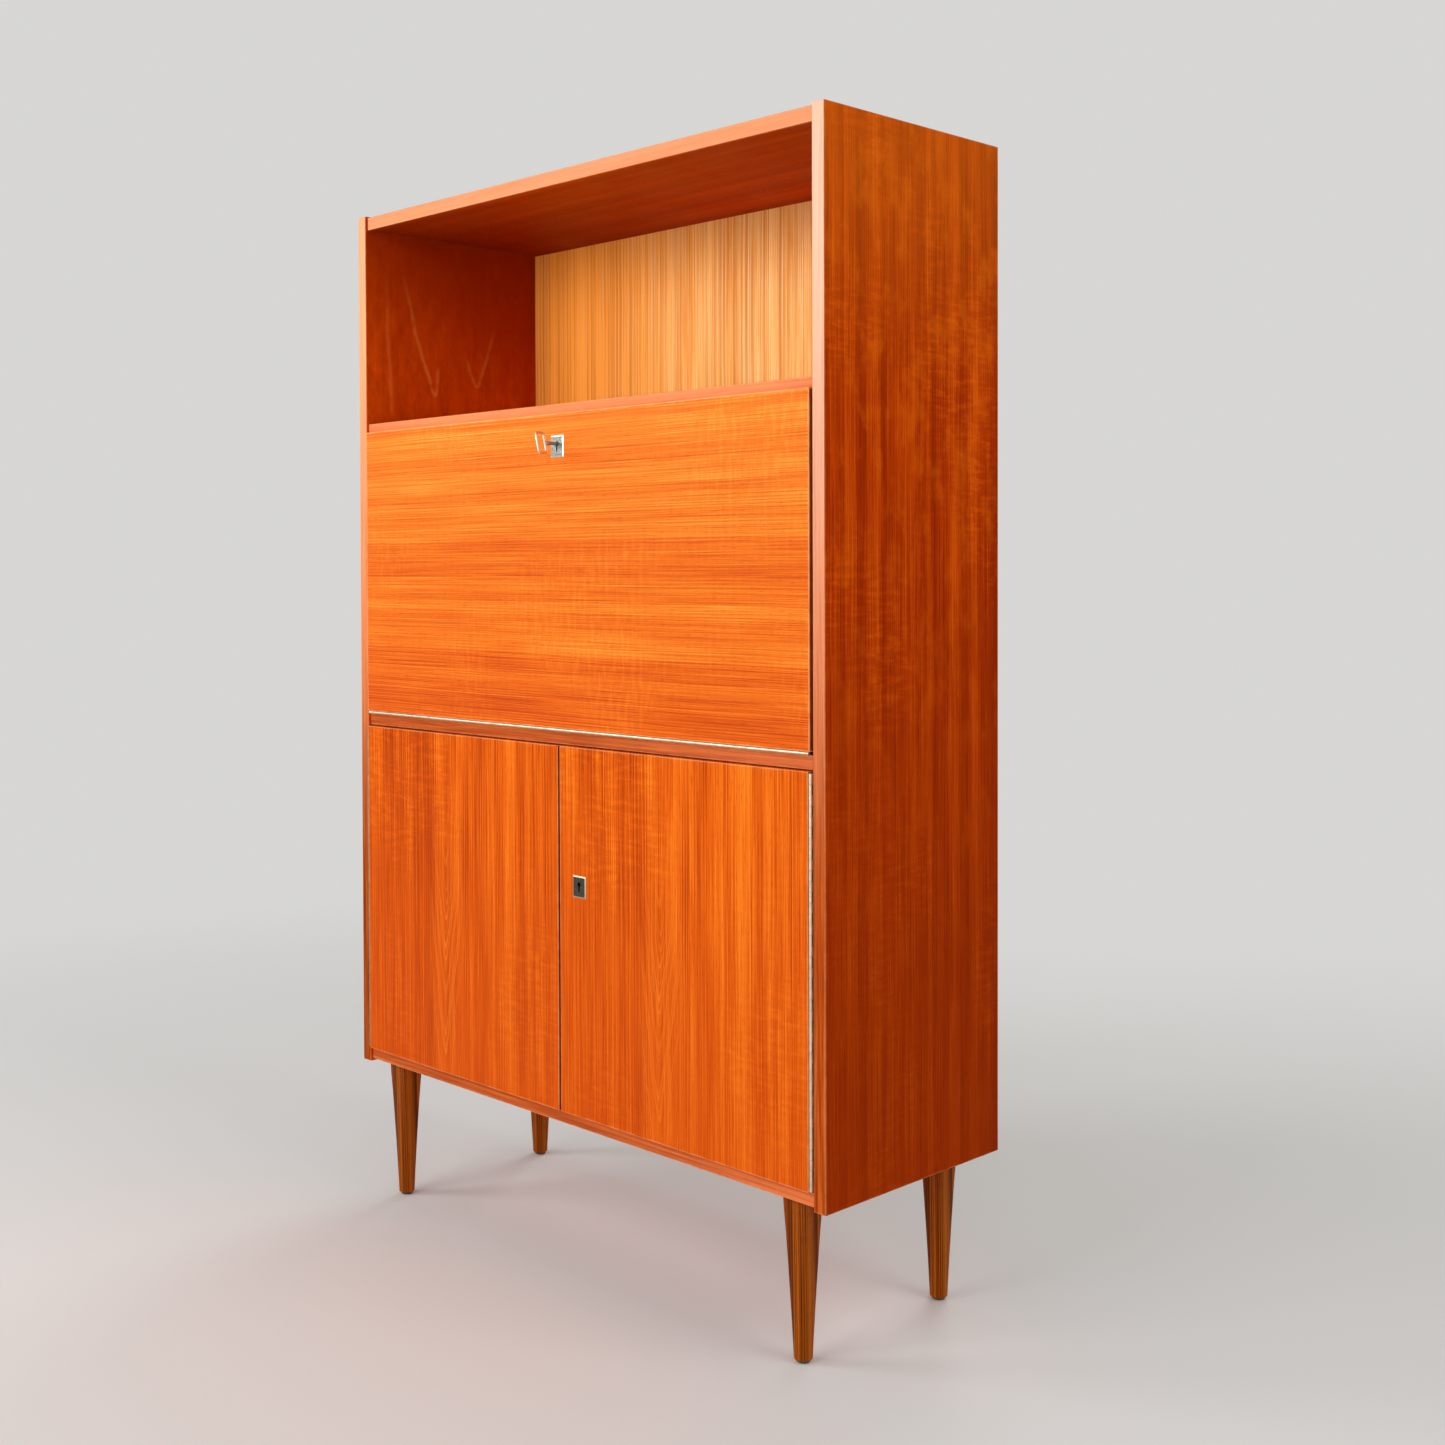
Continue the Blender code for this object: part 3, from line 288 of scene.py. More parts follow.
# %% Veneer figure group
FIGURE_INPUTS = {
    "Place": (0.0, 0.0, 0.0),
    "Heart": 0.0,
    "Cut": 0.02,
    "Taper": 0.01,
    "Crown": 2.0,
    "Wander": 0.004,
    "Lines": 260.0,
    "Bands": 20.0,
}
GRAINS = {
    "Fibre": ((640.0, 4.5, 1.0), 4.0, 0.68, 0.34, 0.66),
    "Ripple": ((30.0, 130.0, 1.0), 3.0, 0.60, 0.42, 0.68),
    "Pore": ((1500.0, 60.0, 1.0), 1.0, 0.50, 0.60, 0.72),
    "Cloud": ((32.0, 2.6, 1.0), 4.0, 0.62, 0.30, 0.70),
}
FIGURE, into, out = new_group("Veneer figure", FIGURE_INPUTS, ["Line", "Band", *GRAINS])


def ring_radius(into):
    """Radius of the growth ring that a point of the slice lies on."""
    x, y, _ = split(into["Place"])
    sway = (noise(into["Place"], (4.0, 1.3, 1.0), 3.0) - 0.5) * into["Wander"]
    across = sway * 2.0 + (x - into["Heart"])
    from_heart = maths("SQRT", across * across + into["Cut"] ** 2.0)
    drop = greater(into["Crown"] - y, 0.0) * into["Taper"]
    return from_heart - drop + sway


def fill_figure(into, out):
    """Everything that the figure group works out."""
    radius = ring_radius(into)
    made = {
        "Line": stretch(noise_along(radius * into["Lines"], 3.0, 0.62), 0.34, 0.66),
        "Band": stretch(noise_along(radius * into["Bands"], 2.0, 0.50), 0.32, 0.68),
    }
    for label, (scale, detail, roughness, low, high) in GRAINS.items():
        made[label] = stretch(noise(into["Place"], scale, detail, roughness), low, high)
    patch = stretch(noise(into["Place"], (5.0, 3.0, 1.0), 1.0), 0.42, 0.62)
    made["Ripple"] = made["Ripple"] * patch
    feed(out, made)


fill_figure(into, out)
print(f"group {FIGURE.name}: {len(FIGURE.nodes)} nodes")

# %% [markdown]
# ## Arrises and handling
# An arris is where two faces of a board meet. Each arris gets a painted highlight: a
# lighter colour where the light catches the edge. On a board that is a plain block the
# distance to the nearest arris can be worked out exactly: take the distance from the point
# to the block's faces on each axis, and the second smallest of the three is the answer.
# A second group gives the smudges and fine scratches that years of hands leave.

# %% Arris group
ARRIS_INPUTS = {"Place": (0.0,) * 3, "Low": (0.0,) * 3, "High": (1.0,) * 3, "Width": 0.002}
ARRIS, into, out = new_group("Arris painted highlight", ARRIS_INPUTS, ["Arris"])


def fill_arris(into, out):
    """1 on an arris, falling to 0 at a width from it, a little uneven along its length."""
    from_low = vector_maths("SUBTRACT", into["Place"], into["Low"])
    from_high = vector_maths("SUBTRACT", into["High"], into["Place"])
    x, y, z = split(vector_maths("MINIMUM", from_low, from_high))
    least = lesser(x, lesser(y, z))
    most = greater(x, greater(y, z))
    second = x + (y + z) - least - most
    uneven = stretch(noise(into["Place"], 60.0), 0.3, 0.7, 0.6, 1.2)
    share = clamped(second / (into["Width"] * uneven))
    feed(out, {"Arris": clamped(1.0 - share)})


fill_arris(into, out)
print(f"group {ARRIS.name}: {len(ARRIS.nodes)} nodes")

# %% Handling group
HANDLING_INPUTS = {"Place": (0.0,) * 3, "Scale": 1.0}
HANDLING, into, out = new_group("Handling marks", HANDLING_INPUTS, ["Smudge", "Scratch"])
SCRATCH_TURNS = ((31.0, 0.7, 0.3), (38.0, 1.9, 1.1))


def fill_handling(into, out):
    """Soft smudges, and thin scratches that run every way."""
    tree = into["Place"].tree
    inputs = {0: into["Place"], "Scale": into["Scale"]}
    place = result(tree, "VectorMath", inputs, operation="SCALE")
    smudge = stretch(noise(place, 9.0, 4.0, 0.6), 0.35, 0.7)
    marks = []
    for turn in SCRATCH_TURNS:
        leaning = result(tree, "Mapping", {"Vector": place, "Rotation": turn})
        marks.append(stretch(noise(leaning, (260.0, 4.0, 90.0), 1.0), 0.70, 0.76))
    feed(out, {"Smudge": smudge, "Scratch": greater(*marks)})


fill_handling(into, out)
print("groups ready:", ", ".join(group.name for group in bpy.data.node_groups))

# %% [markdown]
# ## A teak finish
# The lacquered veneer on the real desk is satin: deep orange, with lighter bands where the
# wood is young. Each board has its own grain direction, its own palette and its own place
# for the heart of the figure. The recipe is the same for all of them: bands and lines pick
# a colour from four, ripple and arris lighten it, pores darken it, and the same values
# drive the roughness and a very shallow bump.

# %% Grain direction and layout of one leaf
def grain_place(source, along, low, seed):
    """Place from a board's low corner as (across the grain, along the grain, seed)."""
    moved = split(vector_maths("SUBTRACT", source, low))
    grain = moved.pop("XYZ".index(along))
    return result(source.tree, "CombineXYZ", {0: moved[0] + moved[1], 1: grain, 2: seed})


def leaf_layout(place, width, zones, bend):
    """Light and dark zones that one leaf of veneer has, as (share of its width, tone) pairs."""
    drift = (noise(place, (3.0, 1.6, 1.0), 3.0) - 0.5) * bend
    share = (split(place)[0] + drift) / width
    return ramp(share, [(position, (tone,) * 3) for position, tone in zones], "B_SPLINE")


# %% Colour of a veneer
# Width and lighter colour of the painted highlight along the arrises.
ARRIS_WIDTH = 0.0022
ARRIS_HIGHLIGHT_COLOUR = (1.0, 0.50, 0.22)
PLAIN_LOOK = {
    "band": 0.5, "line": 0.36, "fibre": 0.14, "ripple": 0.1, "cloud": 0.0,
    "middle": 0.56, "contrast": 1.6, "pore": 0.35, "arris": 0.5, "roughness": 0.36, "gloss": 0.16,
}


def wood_colour(source, place, parts, board, colours, look):
    """The colour of a veneer, with the board's own painters and a painted highlight on its arrises."""
    low, high = corners(board)
    tone = parts["Band"] * look["band"]
    for part in ("line", "fibre", "ripple", "cloud"):
        tone = parts[part.title()] * look[part] + tone
    if "layout" in look:
        zones = leaf_layout(place, look["span"], look["layout"], look["bend"])
        tone = zones * look["zones"] + tone
    tone = (tone - look["middle"]) * look["contrast"] + 0.5
    darkest = [value * 0.45 for value in colours[0]]
    colour = mix_colour(parts["Pore"] * look["pore"], palette(tone, colours), darkest)
    for painter in ("extra", "lipping"):
        if painter in look:
            colour = look[painter](source, place, colour)
    # Painted highlight: each arris is mixed towards a lighter colour.
    edges = {"Place": source, "Low": low, "High": high, "Width": ARRIS_WIDTH}
    arris = use_group(source.tree, ARRIS, edges)["Arris"]
    return mix_colour(arris * look["arris"], colour, ARRIS_HIGHLIGHT_COLOUR)


# %% Teak recipe
def wood_finish(name, board, along, colours, figure, seed=0.0, **changes):
    """Give one board a lacquered wood; changes are what its look has of its own."""
    look = {**PLAIN_LOOK, **changes}
    material, shader, source = new_material(name)
    place = grain_place(source, along, corners(board)[0], seed)
    parts = use_group(source.tree, FIGURE, {"Place": place, **figure})
    hands = use_group(source.tree, HANDLING, {"Place": source, "Scale": 1.0})
    rough = hands["Smudge"] * 0.12 + look["roughness"]
    rough = parts["Pore"] * 0.15 + rough
    height = parts["Fibre"] * 0.2 + (parts["Line"] * 0.25 - parts["Pore"])
    feed(shader, {
        "Base Color": wood_colour(source, place, parts, board, colours, look),
        "Roughness": hands["Scratch"] * 0.10 + rough,
        "Normal": bump(height, 0.35, 0.00015),
        "Specular IOR Level": look["gloss"],
    })
    dress(board, material)
    print(f"{name}: {len(material.node_tree.nodes)} nodes")


def dress(node, material):
    """Give a solid of the frame its finish."""
    slots = NODES[node].data.materials
    slots.clear()
    slots.append(material)


# %% [markdown]
# ## Lipping
# The veneered boards are edged with thin strips of solid teak. On the sides they run down
# the front, and on the shelves they run across it. A face's own direction tells which it
# is, so the strip gets its own plainer colour without cutting the board up. The strips are
# painted paler towards the top, partly sun-fading and partly a painted highlight, and a
# thin dark line of painted shadow runs down the right side's strip, where the flap and the
# door meet it.

# %% Lipping by the direction of a face
TEAK_LIP = ((0.30, 0.038, 0.003), (0.42, 0.062, 0.006), (0.52, 0.090, 0.010), (0.66, 0.145, 0.022))
DULL_LIP = ((0.22, 0.028, 0.002), (0.32, 0.046, 0.004), (0.40, 0.066, 0.007), (0.52, 0.110, 0.016))
# Warm colour of the painted highlight on the lippings, partly sun-fading.
SUN_FADE_AND_GLARE = (0.92, 0.23, 0.070)
# Colour, width and top of a thin line of painted shadow beside the hinges.
HINGE_SHADOW_COLOUR = (0.05, 0.008, 0.003)
HINGE_SHADOW_WIDTH = 0.0016
HINGE_SHADOW_TOP = 1.005


def lipping_on(axis, colours, seed, pale, rise, to_right=0.0, hinge_shadow_edge=None):
    """A painter of lippings on all faces that don't look along the board's thin axis.
    They turn pale over a range of height, and to the right if they run across the desk:
    partly sun-fading, partly a painted highlight. Given an edge, a thin line of painted
    shadow runs beside it."""

    def paint(source, place, colour):
        x, _, z = split(source)
        moved = vector_maths("ADD", place, (seed, seed, 0.0))
        grain = noise(moved, (300.0, 5.5, 1.0), 4.0, 0.65)
        strip = palette(stretch(grain, 0.25, 0.75), colours)
        share = stretch(z, *rise)
        if to_right:
            share = greater(share, stretch(x, -0.1, 0.5, 0.05, to_right))
        # Painted highlight, partly sun-fading: warmer and paler towards the top, and to the right on
        # boards.
        warm = lesser(share * 2.4, 0.90) * stretch(grain, 0.25, 0.70, 0.58, 1.0)
        strip = mix_colour(warm, strip, SUN_FADE_AND_GLARE)
        faded_and_glared = share ** 1.5 * stretch(grain, 0.25, 0.70, 0.68, 1.0)
        strip = mix_colour(faded_and_glared, strip, pale)
        # Painted shadow: a thin dark line beside the hinges of the flap and the right door.
        if hinge_shadow_edge:
            line = stretch(x, hinge_shadow_edge, hinge_shadow_edge + HINGE_SHADOW_WIDTH, 1.0, 0.0)
            line = line * stretch(z, HINGE_SHADOW_TOP, HINGE_SHADOW_TOP + 0.01, 1.0, 0.0)
            strip = mix_colour(line, strip, HINGE_SHADOW_COLOUR)
        mask = stretch(abs(facing(source, axis)), 0.35, 0.6, 1.0, 0.0)
        return mix_colour(mask, colour, strip)

    return paint


def gap_shade_ends(source, place, colour):
    """Painted shade for the fronts: their upright end faces, which lie in a gap, are darkened."""
    mask = stretch(abs(facing(source, "X")), 0.5, 0.8, 0.0, 0.75)
    return mix_colour(mask, colour, (0.15, 0.012, 0.003))


# %% [markdown]
# ## The flap and the doors
# The flap's veneer lies across it, with yellower bands high up and a darker one half way
# down. The doors' veneers stand upright and come from leaves cut one after the other, so
# both show the same figure: a bright band right of the middle, and arches low down.

# %% Flap
FLAP_COLOURS = ((0.58, 0.060, 0.002), (0.80, 0.125, 0.005), (0.91, 0.205, 0.013), (0.95, 0.330, 0.036))
FLAP_ZONES = (
    (0.0, 0.10), (0.08, 0.22), (0.20, 0.42), (0.30, 0.50), (0.36, 0.66), (0.45, 0.44), (0.53, 0.22),
    (0.60, 0.52), (0.70, 0.86), (0.76, 0.58), (0.88, 0.72), (0.94, 0.62), (1.0, 0.70),
)
FLAP_FIGURE = {"Heart": -0.9, "Cut": 0.05, "Taper": 0.003, "Wander": 0.004, "Lines": 420.0, "Bands": 34.0}
FLAP_LOOK = {
    "band": 0.14, "line": 0.20, "fibre": 0.30, "ripple": 0.10, "cloud": 0.10, "arris": 0.8,
    "layout": FLAP_ZONES, "span": 0.4438, "zones": 0.50, "bend": 0.05,
    "gloss": 0.08, "middle": 0.62, "contrast": 1.25, "extra": gap_shade_ends,
}
wood_finish("Teak on the flap", "flap_panel", "X", FLAP_COLOURS, FLAP_FIGURE, 4.0, **FLAP_LOOK)

# %% Doors
DOOR_COLOURS = ((0.40, 0.040, 0.0005), (0.62, 0.078, 0.0015), (0.82, 0.128, 0.004), (1.0, 0.235, 0.014))
DOOR_ZONES = (
    (0.0, 0.52), (0.06, 0.46), (0.16, 0.36), (0.30, 0.24), (0.35, 0.26), (0.41, 0.62), (0.53, 0.50),
    (0.62, 0.42), (0.70, 0.86), (0.75, 0.70), (0.84, 0.62), (0.92, 0.46), (1.0, 0.50),
)
FLAME_HEART = 0.205
FLAME_TOP = 0.42


def door_flames(source, place, colour):
    """Thin pale flames, one inside the other, low on a door that is redder at its foot."""
    x, y, _ = split(place)
    sway = noise(place, (9.0, 5.0, 1.0), 3.0) - 0.5
    across = sway * 0.03 + (x - FLAME_HEART)
    blunt = maths("SQRT", across * across + 0.00002)
    stripes = noise_along((blunt * -6.0 + y) * 46.0, 2.0, 0.6)
    inside = stretch(abs(across), 0.020, 0.055, 1.0, 0.0)
    low_down = stretch(y, FLAME_TOP * 0.5, FLAME_TOP, 1.0, 0.0)
    share = stretch(stripes, 0.46, 0.66) * (inside * low_down)
    colour = mix_colour(share * 0.75, colour, (0.96, 0.225, 0.018))
    colour = mix_colour(stretch(y, 0.0, 0.50, 0.40, 0.0), colour, (0.62, 0.072, 0.002))
    return gap_shade_ends(source, place, colour)


DOOR_FIGURE = {
    "Heart": -0.5, "Cut": 0.012, "Taper": 0.004, "Crown": 0.5,
    "Wander": 0.003, "Lines": 430.0, "Bands": 40.0,
}
DOOR_LOOK = {
    "band": 0.14, "line": 0.24, "fibre": 0.34, "ripple": 0.10, "cloud": 0.16, "arris": 0.5,
    "layout": DOOR_ZONES, "span": 0.4732, "zones": 0.42, "bend": 0.02,
    "gloss": 0.035, "contrast": 1.4, "extra": door_flames,
}
# The left door's tone is set darker than the right's: painted shade on the same veneer.
for door, seed, middle in (("left_door_panel", 1.0, 0.69), ("right_door_panel", 1.12, 0.625)):
    name = f"Teak on the {door}"
    wood_finish(name, door, "Z", DOOR_COLOURS, DOOR_FIGURE, seed, middle=middle, **DOOR_LOOK)

# %% [markdown]
# ## The sides
# The sides are redder, in upright ribbons. Painted shade darkens them near the floor and
# painted light makes them paler high up. On the left side's inner face a few pale arches
# stand in dark, cloudy wood, where the slice ran through the end of a ring, and painted
# shade darkens its top back corner. Each limb is a line between two points that bows a little.

# %% Painted shade and light down the sides
def painted_light_falloff(source, place, colour):
    """Painted shade and light: the sides are darker and redder near the floor and paler high up, where
    pale clouds in the grain also grow stronger.
    """
    height = split(source)[2]
    colour = mix_colour(stretch(height, 0.15, 1.25, 0.62, 0.0), colour, (0.30, 0.028, 0.0004))
    cloud = stretch(noise(source, (1.0, 30.0, 17.0), 4.0, 0.6), 0.46, 0.70)
    cloud = cloud * stretch(height, 0.5, 1.35, 0.06, 0.34)
    colour = mix_colour(cloud, colour, (0.88, 0.155, 0.004))
    return mix_colour(stretch(height, 1.15, 1.60, 0.0, 0.24), colour, (0.86, 0.24, 0.012))


# %% Pale arches
ARCH_LIMBS = (
    ((-0.115, 1.475), (-0.106, 1.250), 0.36),
    ((-0.083, 1.480), (-0.021, 1.285), 0.74),
    ((-0.016, 1.336), (-0.020, 1.286), 0.62),
    ((0.044, 1.354), (0.066, 1.306), 0.58),
    ((0.102, 1.410), (0.067, 1.306), 0.74),
)
INNER_COLOURS = ((0.40, 0.032, 0.0008), (0.62, 0.062, 0.001), (0.80, 0.096, 0.002), (0.94, 0.15, 0.006))
INNER_SHADE = (0.285, 0.0145, 0.0005)
left_inside = corners("side_panel_left")[1].x
print(f"left side's inner face at {left_inside:.4f} m, {len(ARCH_LIMBS)} limbs of arches on it")


def pale_arches(source, place, colour):
    """Thin pale limbs of arches on the dark, plain wood of the left side's inner face, with painted shade
    in its top back corner.
    """
    x, y, z = split(source)
    inner_face = stretch(x, left_inside - 0.0012, left_inside - 0.0004)
    plain = palette(noise(source, (1.0, 60.0, 26.0), 5.0, 0.62), INNER_COLOURS)
    colour = mix_colour(inner_face * 0.85, colour, plain)
    sway = noise(source, 14.0) - 0.5
    broken = stretch(noise(source, 70.0, 3.0), 0.25, 0.5, 0.35, 1.0)
    for (top_y, top_z), (foot_y, foot_z), strength in ARCH_LIMBS:
        along = (z - foot_z) / (top_z - foot_z)
        middle = greater(along, 0.0) ** 0.8 * (top_y - foot_y) + foot_y
        off = sway * 0.010 + (y - middle)
        line = stretch(abs(off), 0.0004, 0.0062, 0.85, 0.0)
        ends = stretch(along, -0.03, 0.05) * stretch(along, 0.70, 1.08, 1.0, 0.0)
        share = line * ends * (broken * inner_face)
        colour = mix_colour(share * strength, colour, (0.90, 0.26, 0.05))
    # Painted shade: the inner face darkens towards its top back corner, under the top.
    shade = stretch(y * 0.55 + z, 1.24, 1.54, 0.0, 0.92)
    colour = mix_colour(shade * inner_face, colour, INNER_SHADE)
    return mix_colour(inner_face * 0.85, painted_light_falloff(source, place, colour), colour)


# %% Sides
SIDE_COLOURS = ((0.33, 0.022, 0.0003), (0.47, 0.038, 0.0006), (0.60, 0.060, 0.001), (0.78, 0.110, 0.004))
SIDE_ZONES = (
    (0.0, 0.55), (0.08, 0.66), (0.17, 0.46), (0.27, 0.40), (0.33, 0.64), (0.39, 0.38), (0.46, 0.34),
    (0.55, 0.56), (0.62, 0.60), (0.68, 0.22), (0.76, 0.50), (0.86, 0.58), (0.92, 0.52), (0.96, 0.14),
    (1.0, 0.18),
)
SIDE_FIGURE = {"Heart": -0.9, "Cut": 0.02, "Taper": 0.002, "Wander": 0.006, "Lines": 330.0, "Bands": 44.0}
SIDE_LOOK = {
    "band": 0.20, "line": 0.12, "fibre": 0.36, "ripple": 0.18, "cloud": 0.18, "arris": 0.25,
    "layout": SIDE_ZONES, "span": 0.35, "zones": 0.34, "bend": 0.012, "gloss": 0.008, "middle": 0.65,
}
right_inside = corners("side_panel_right")[0].x
# The lippings are painted paler towards the top: partly sun-fading, partly a painted highlight.
left_lip = lipping_on("X", DULL_LIP, 3.1, (0.95, 0.48, 0.24), (0.42, 1.52))
right_lip = lipping_on("X", TEAK_LIP, 4.3, (0.95, 0.64, 0.46), (0.50, 1.52), hinge_shadow_edge=right_inside)
for side, extra, lipping in (("left", pale_arches, left_lip), ("right", painted_light_falloff, right_lip)):
    own = {**SIDE_LOOK, "extra": extra, "lipping": lipping}
    name = f"Teak on the side_panel_{side}"
    wood_finish(name, f"side_panel_{side}", "Z", SIDE_COLOURS, SIDE_FIGURE, 2.0, **own)

# %% [markdown]
# ## The boards
# The boards between the sides run across, and so do their lippings, which are paler to the
# right. The top's underside gets painted shade, deepest in the corner where the least
# light comes. The small dividers and drawer fronts inside are cut from the same teak.

# %% Boards
BOARD_COLOURS = ((0.40, 0.040, 0.001), (0.52, 0.060, 0.002), (0.62, 0.082, 0.004), (0.72, 0.12, 0.010))
BOARD_FIGURE = {"Heart": -0.4, "Cut": 0.04, "Taper": 0.010, "Wander": 0.006}
BOARD_LOOK = {
    "gloss": 0.05, "line": 0.24, "cloud": 0.2, "band": 0.4, "contrast": 1.2,
    "lipping": lipping_on("Z", TEAK_LIP, 7.7, (1.0, 0.365, 0.175), (1.015, 1.50), 0.20),
}


def shaded_underside(source, place, colour):
    """Painted shade: the top's underside is darkest towards the left and the back, where the least light
    comes.
    """
    x, y, _ = split(source)
    under = stretch(facing(source, "Z"), -0.9, -0.5, 1.0, 0.0)
    share = stretch(y * -0.8 + x, -0.50, 0.15, 0.82, 0.12)
    colour = mix_colour(share * under, colour, (0.20, 0.008, 0.0003))
    speck = stretch(noise(source, 260.0, 3.0, 0.7), 0.35, 0.7)
    return mix_colour(speck * 0.35, colour, (0.68, 0.108, 0.002))


boards = ("top_panel", "display_shelf", "desk_board", "bottom_panel", "inner_shelf")
for index, board in enumerate(boards):
    own = {"extra": shaded_underside, "gloss": 0.01} if board == "top_panel" else {}
    look = {**BOARD_LOOK, **own}
    wood_finish(f"Teak on the {board}", board, "X", BOARD_COLOURS, BOARD_FIGURE, index + 0.5, **look)
for node in ("divider_left", "divider_right", "drawer_front_left", "drawer_front_right"):
    along = "Z" if node.startswith("divider") else "X"
    figure = {"Heart": -0.2, "Cut": 0.03, "Wander": 0.006}
    wood_finish(f"Teak on the {node}", node, along, BOARD_COLOURS, figure)

# %% [markdown]
# ## The back panel
# Inside, the back is a yellower veneer with crisp upright growth lines, dense and orange at
# the left. Such lines are where a slow noise crosses its middle value, so they come out
# thin, dark and never quite even. Outside, it was never meant to be seen: it is a plain
# brown board, nailed into the rebates all round. The nails are flat and flush, so they are
# painted by their distance from the nearest place in a row.

# %% Plain outside of the back
BROWNS = ((0.20, 0.105, 0.045), (0.27, 0.148, 0.066), (0.33, 0.188, 0.087), (0.40, 0.235, 0.115))
NAIL_PITCH = 0.110
NAIL_INSET = 0.006
back_low, back_high = corners("back_panel")
print(f"nails: every {NAIL_PITCH * 1000:.0f} mm round {back_high.x - back_low.x:.3f} m of back")


def nail_heads(along, across, low, high):
    """A row of small flat nail heads inside each of two edges of the back panel."""
    step = (maths("FRACT", along / NAIL_PITCH) - 0.5) * NAIL_PITCH
    off = abs(across - (low + high) / 2.0) - ((high - low) / 2.0 - NAIL_INSET)
    return stretch(maths("SQRT", step * step + off * off), 0.0019, 0.0023, 1.0, 0.0)


def plain_outside(source, colour):
    """Streaked brown board on the face that looks away from the desk."""
    x, _, z = split(source)
    fibre = noise(source, (240.0, 1.0, 3.0), 4.0, 0.6)
    waves = noise(source, (16.0, 1.0, 1.3), 3.0, 0.5)
    board = palette(stretch(waves * 0.4 + fibre * 0.6, 0.34, 0.66), BROWNS)
    upright = nail_heads(z, x, back_low.x, back_high.x)
    level = nail_heads(x, z, back_low.z, back_high.z)
    board = mix_colour(greater(upright, level), board, (0.12, 0.11, 0.10))
    return mix_colour(stretch(facing(source, "Y"), 0.4, 0.6), colour, board)


# %% Striped inside of the back
BACK_COLOURS = ((0.92, 0.32, 0.030), (1.0, 0.50, 0.125), (1.0, 0.60, 0.230), (1.0, 0.68, 0.330))
BACK_FIGURE = {"Heart": -3.0, "Cut": 0.02, "Taper": 0.001, "Wander": 0.0022, "Lines": 620.0, "Bands": 24.0}
GROWTH_LINES = ((125.0, 0.050, 0.72), (280.0, 0.100, 0.62))


def striped(source, place, colour):
    """Crisp dark growth lines, dense and orange at the left, wider and paler to the right, where the paler
    colour is partly a painted sheen.
    """
    x = split(place)[0]
    across = noise(place, (6.0, 4.0, 1.0)) * 0.006 + x
    # Orange towards the left; the paler right is partly the veneer's own colour, partly a painted sheen.
    orange = stretch(x, 0.10, 0.55) * -0.75 + 0.75
    colour = mix_colour(orange, colour, (1.0, 0.33, 0.024))
    fade = stretch(noise(place, (40.0, 3.0, 1.0)), 0.3, 0.6, 0.4, 1.0)
    for pitch, width, strength in GROWTH_LINES:
        level = noise_along(across * pitch, 1.0, 0.4)
        ridge = stretch(abs(level - 0.5), 0.0, width, 1.0, 0.0)
        colour = mix_colour(ridge * fade * strength, colour, (0.60, 0.17, 0.010))
    return plain_outside(source, colour)


BACK_LOOK = {
    "band": 0.16, "line": 0.22, "fibre": 0.50, "ripple": 0.0, "cloud": 0.08, "pore": 0.2,
    "gloss": 0.08, "contrast": 1.5, "middle": 0.50, "extra": striped,
}
wood_finish("Striped back veneer", "back_panel", "Z", BACK_COLOURS, BACK_FIGURE, **BACK_LOOK)

# %% [markdown]
# ## Pale and stained woods
# The drawer trays and the cupboard shelf are pale wood without lacquer's shine, and the legs
# are solid wood stained dark. Both follow the teak recipe with colours of their own.

# %% Pale inside woods
PALE_COLOURS = ((0.40, 0.24, 0.11), (0.50, 0.32, 0.16), (0.57, 0.38, 0.20), (0.63, 0.44, 0.25))
PALE_FIGURE = {"Heart": 0.7, "Cut": 0.05, "Taper": 0.02, "Wander": 0.012, "Lines": 180.0}
for node in ("cupboard_shelf", "drawer_tray_left", "drawer_tray_right"):
    name = f"Pale wood on the {node}"
    wood_finish(name, node, "X", PALE_COLOURS, PALE_FIGURE, roughness=0.5, arris=0.2)

# %% Leg wood
LEG_COLOURS = ((0.10, 0.018, 0.0004), (0.22, 0.042, 0.001), (0.33, 0.068, 0.002), (0.46, 0.110, 0.005))
LEG_FIGURE = {"Heart": -0.4, "Cut": 0.03, "Taper": 0.02, "Wander": 0.006, "Lines": 420.0, "Bands": 60.0}
LEG_LOOK = {"arris": 0.0, "roughness": 0.33, "gloss": 0.06, "fibre": 0.26}
legs = [node for node in NODES if node.startswith("leg_") and "bolt" not in node]
for node in legs:
    wood_finish(f"Stained wood on the {node}", node, "Z", LEG_COLOURS, LEG_FIGURE, **LEG_LOOK)
print("wood finishes in all:", len(bpy.data.materials))

# %% [markdown]
# ## Metals and moulded parts
# The fittings are nickel plate that has dulled in patches, zinc-plated steel and plain
# brass. One recipe serves all: a base metal, a darker tarnish that the smudge mask brings
# in, and scratches that roughen it. The glides are moulded plastic, with a fine skin instead,
# and the same recipe makes the black sheet of painted shade behind a keyhole.

# %% Metal recipe
def metal_finish(name, colour, tarnish, roughness, scale=8.0):
    """A plated or plain metal with dull patches and fine scratches."""
    material, shader, source = new_material(name)
    hands = use_group(source.tree, HANDLING, {"Place": source, "Scale": scale})
    speck = stretch(noise(source, 900.0, 3.0, 0.6), 0.52, 0.7)
    dull = clamped(hands["Smudge"] * 0.55 + speck * 0.35)
    feed(shader, {
        "Base Color": mix_colour(dull, colour, tarnish),
        "Roughness": hands["Scratch"] * 0.12 + (dull * 0.22 + roughness),
        "Normal": bump(noise(source, 1400.0) - hands["Scratch"], 0.25, 0.00005),
        "Metallic": 1.0,
    })
    print(f"metal: {name}, roughness from {roughness}")
    return material


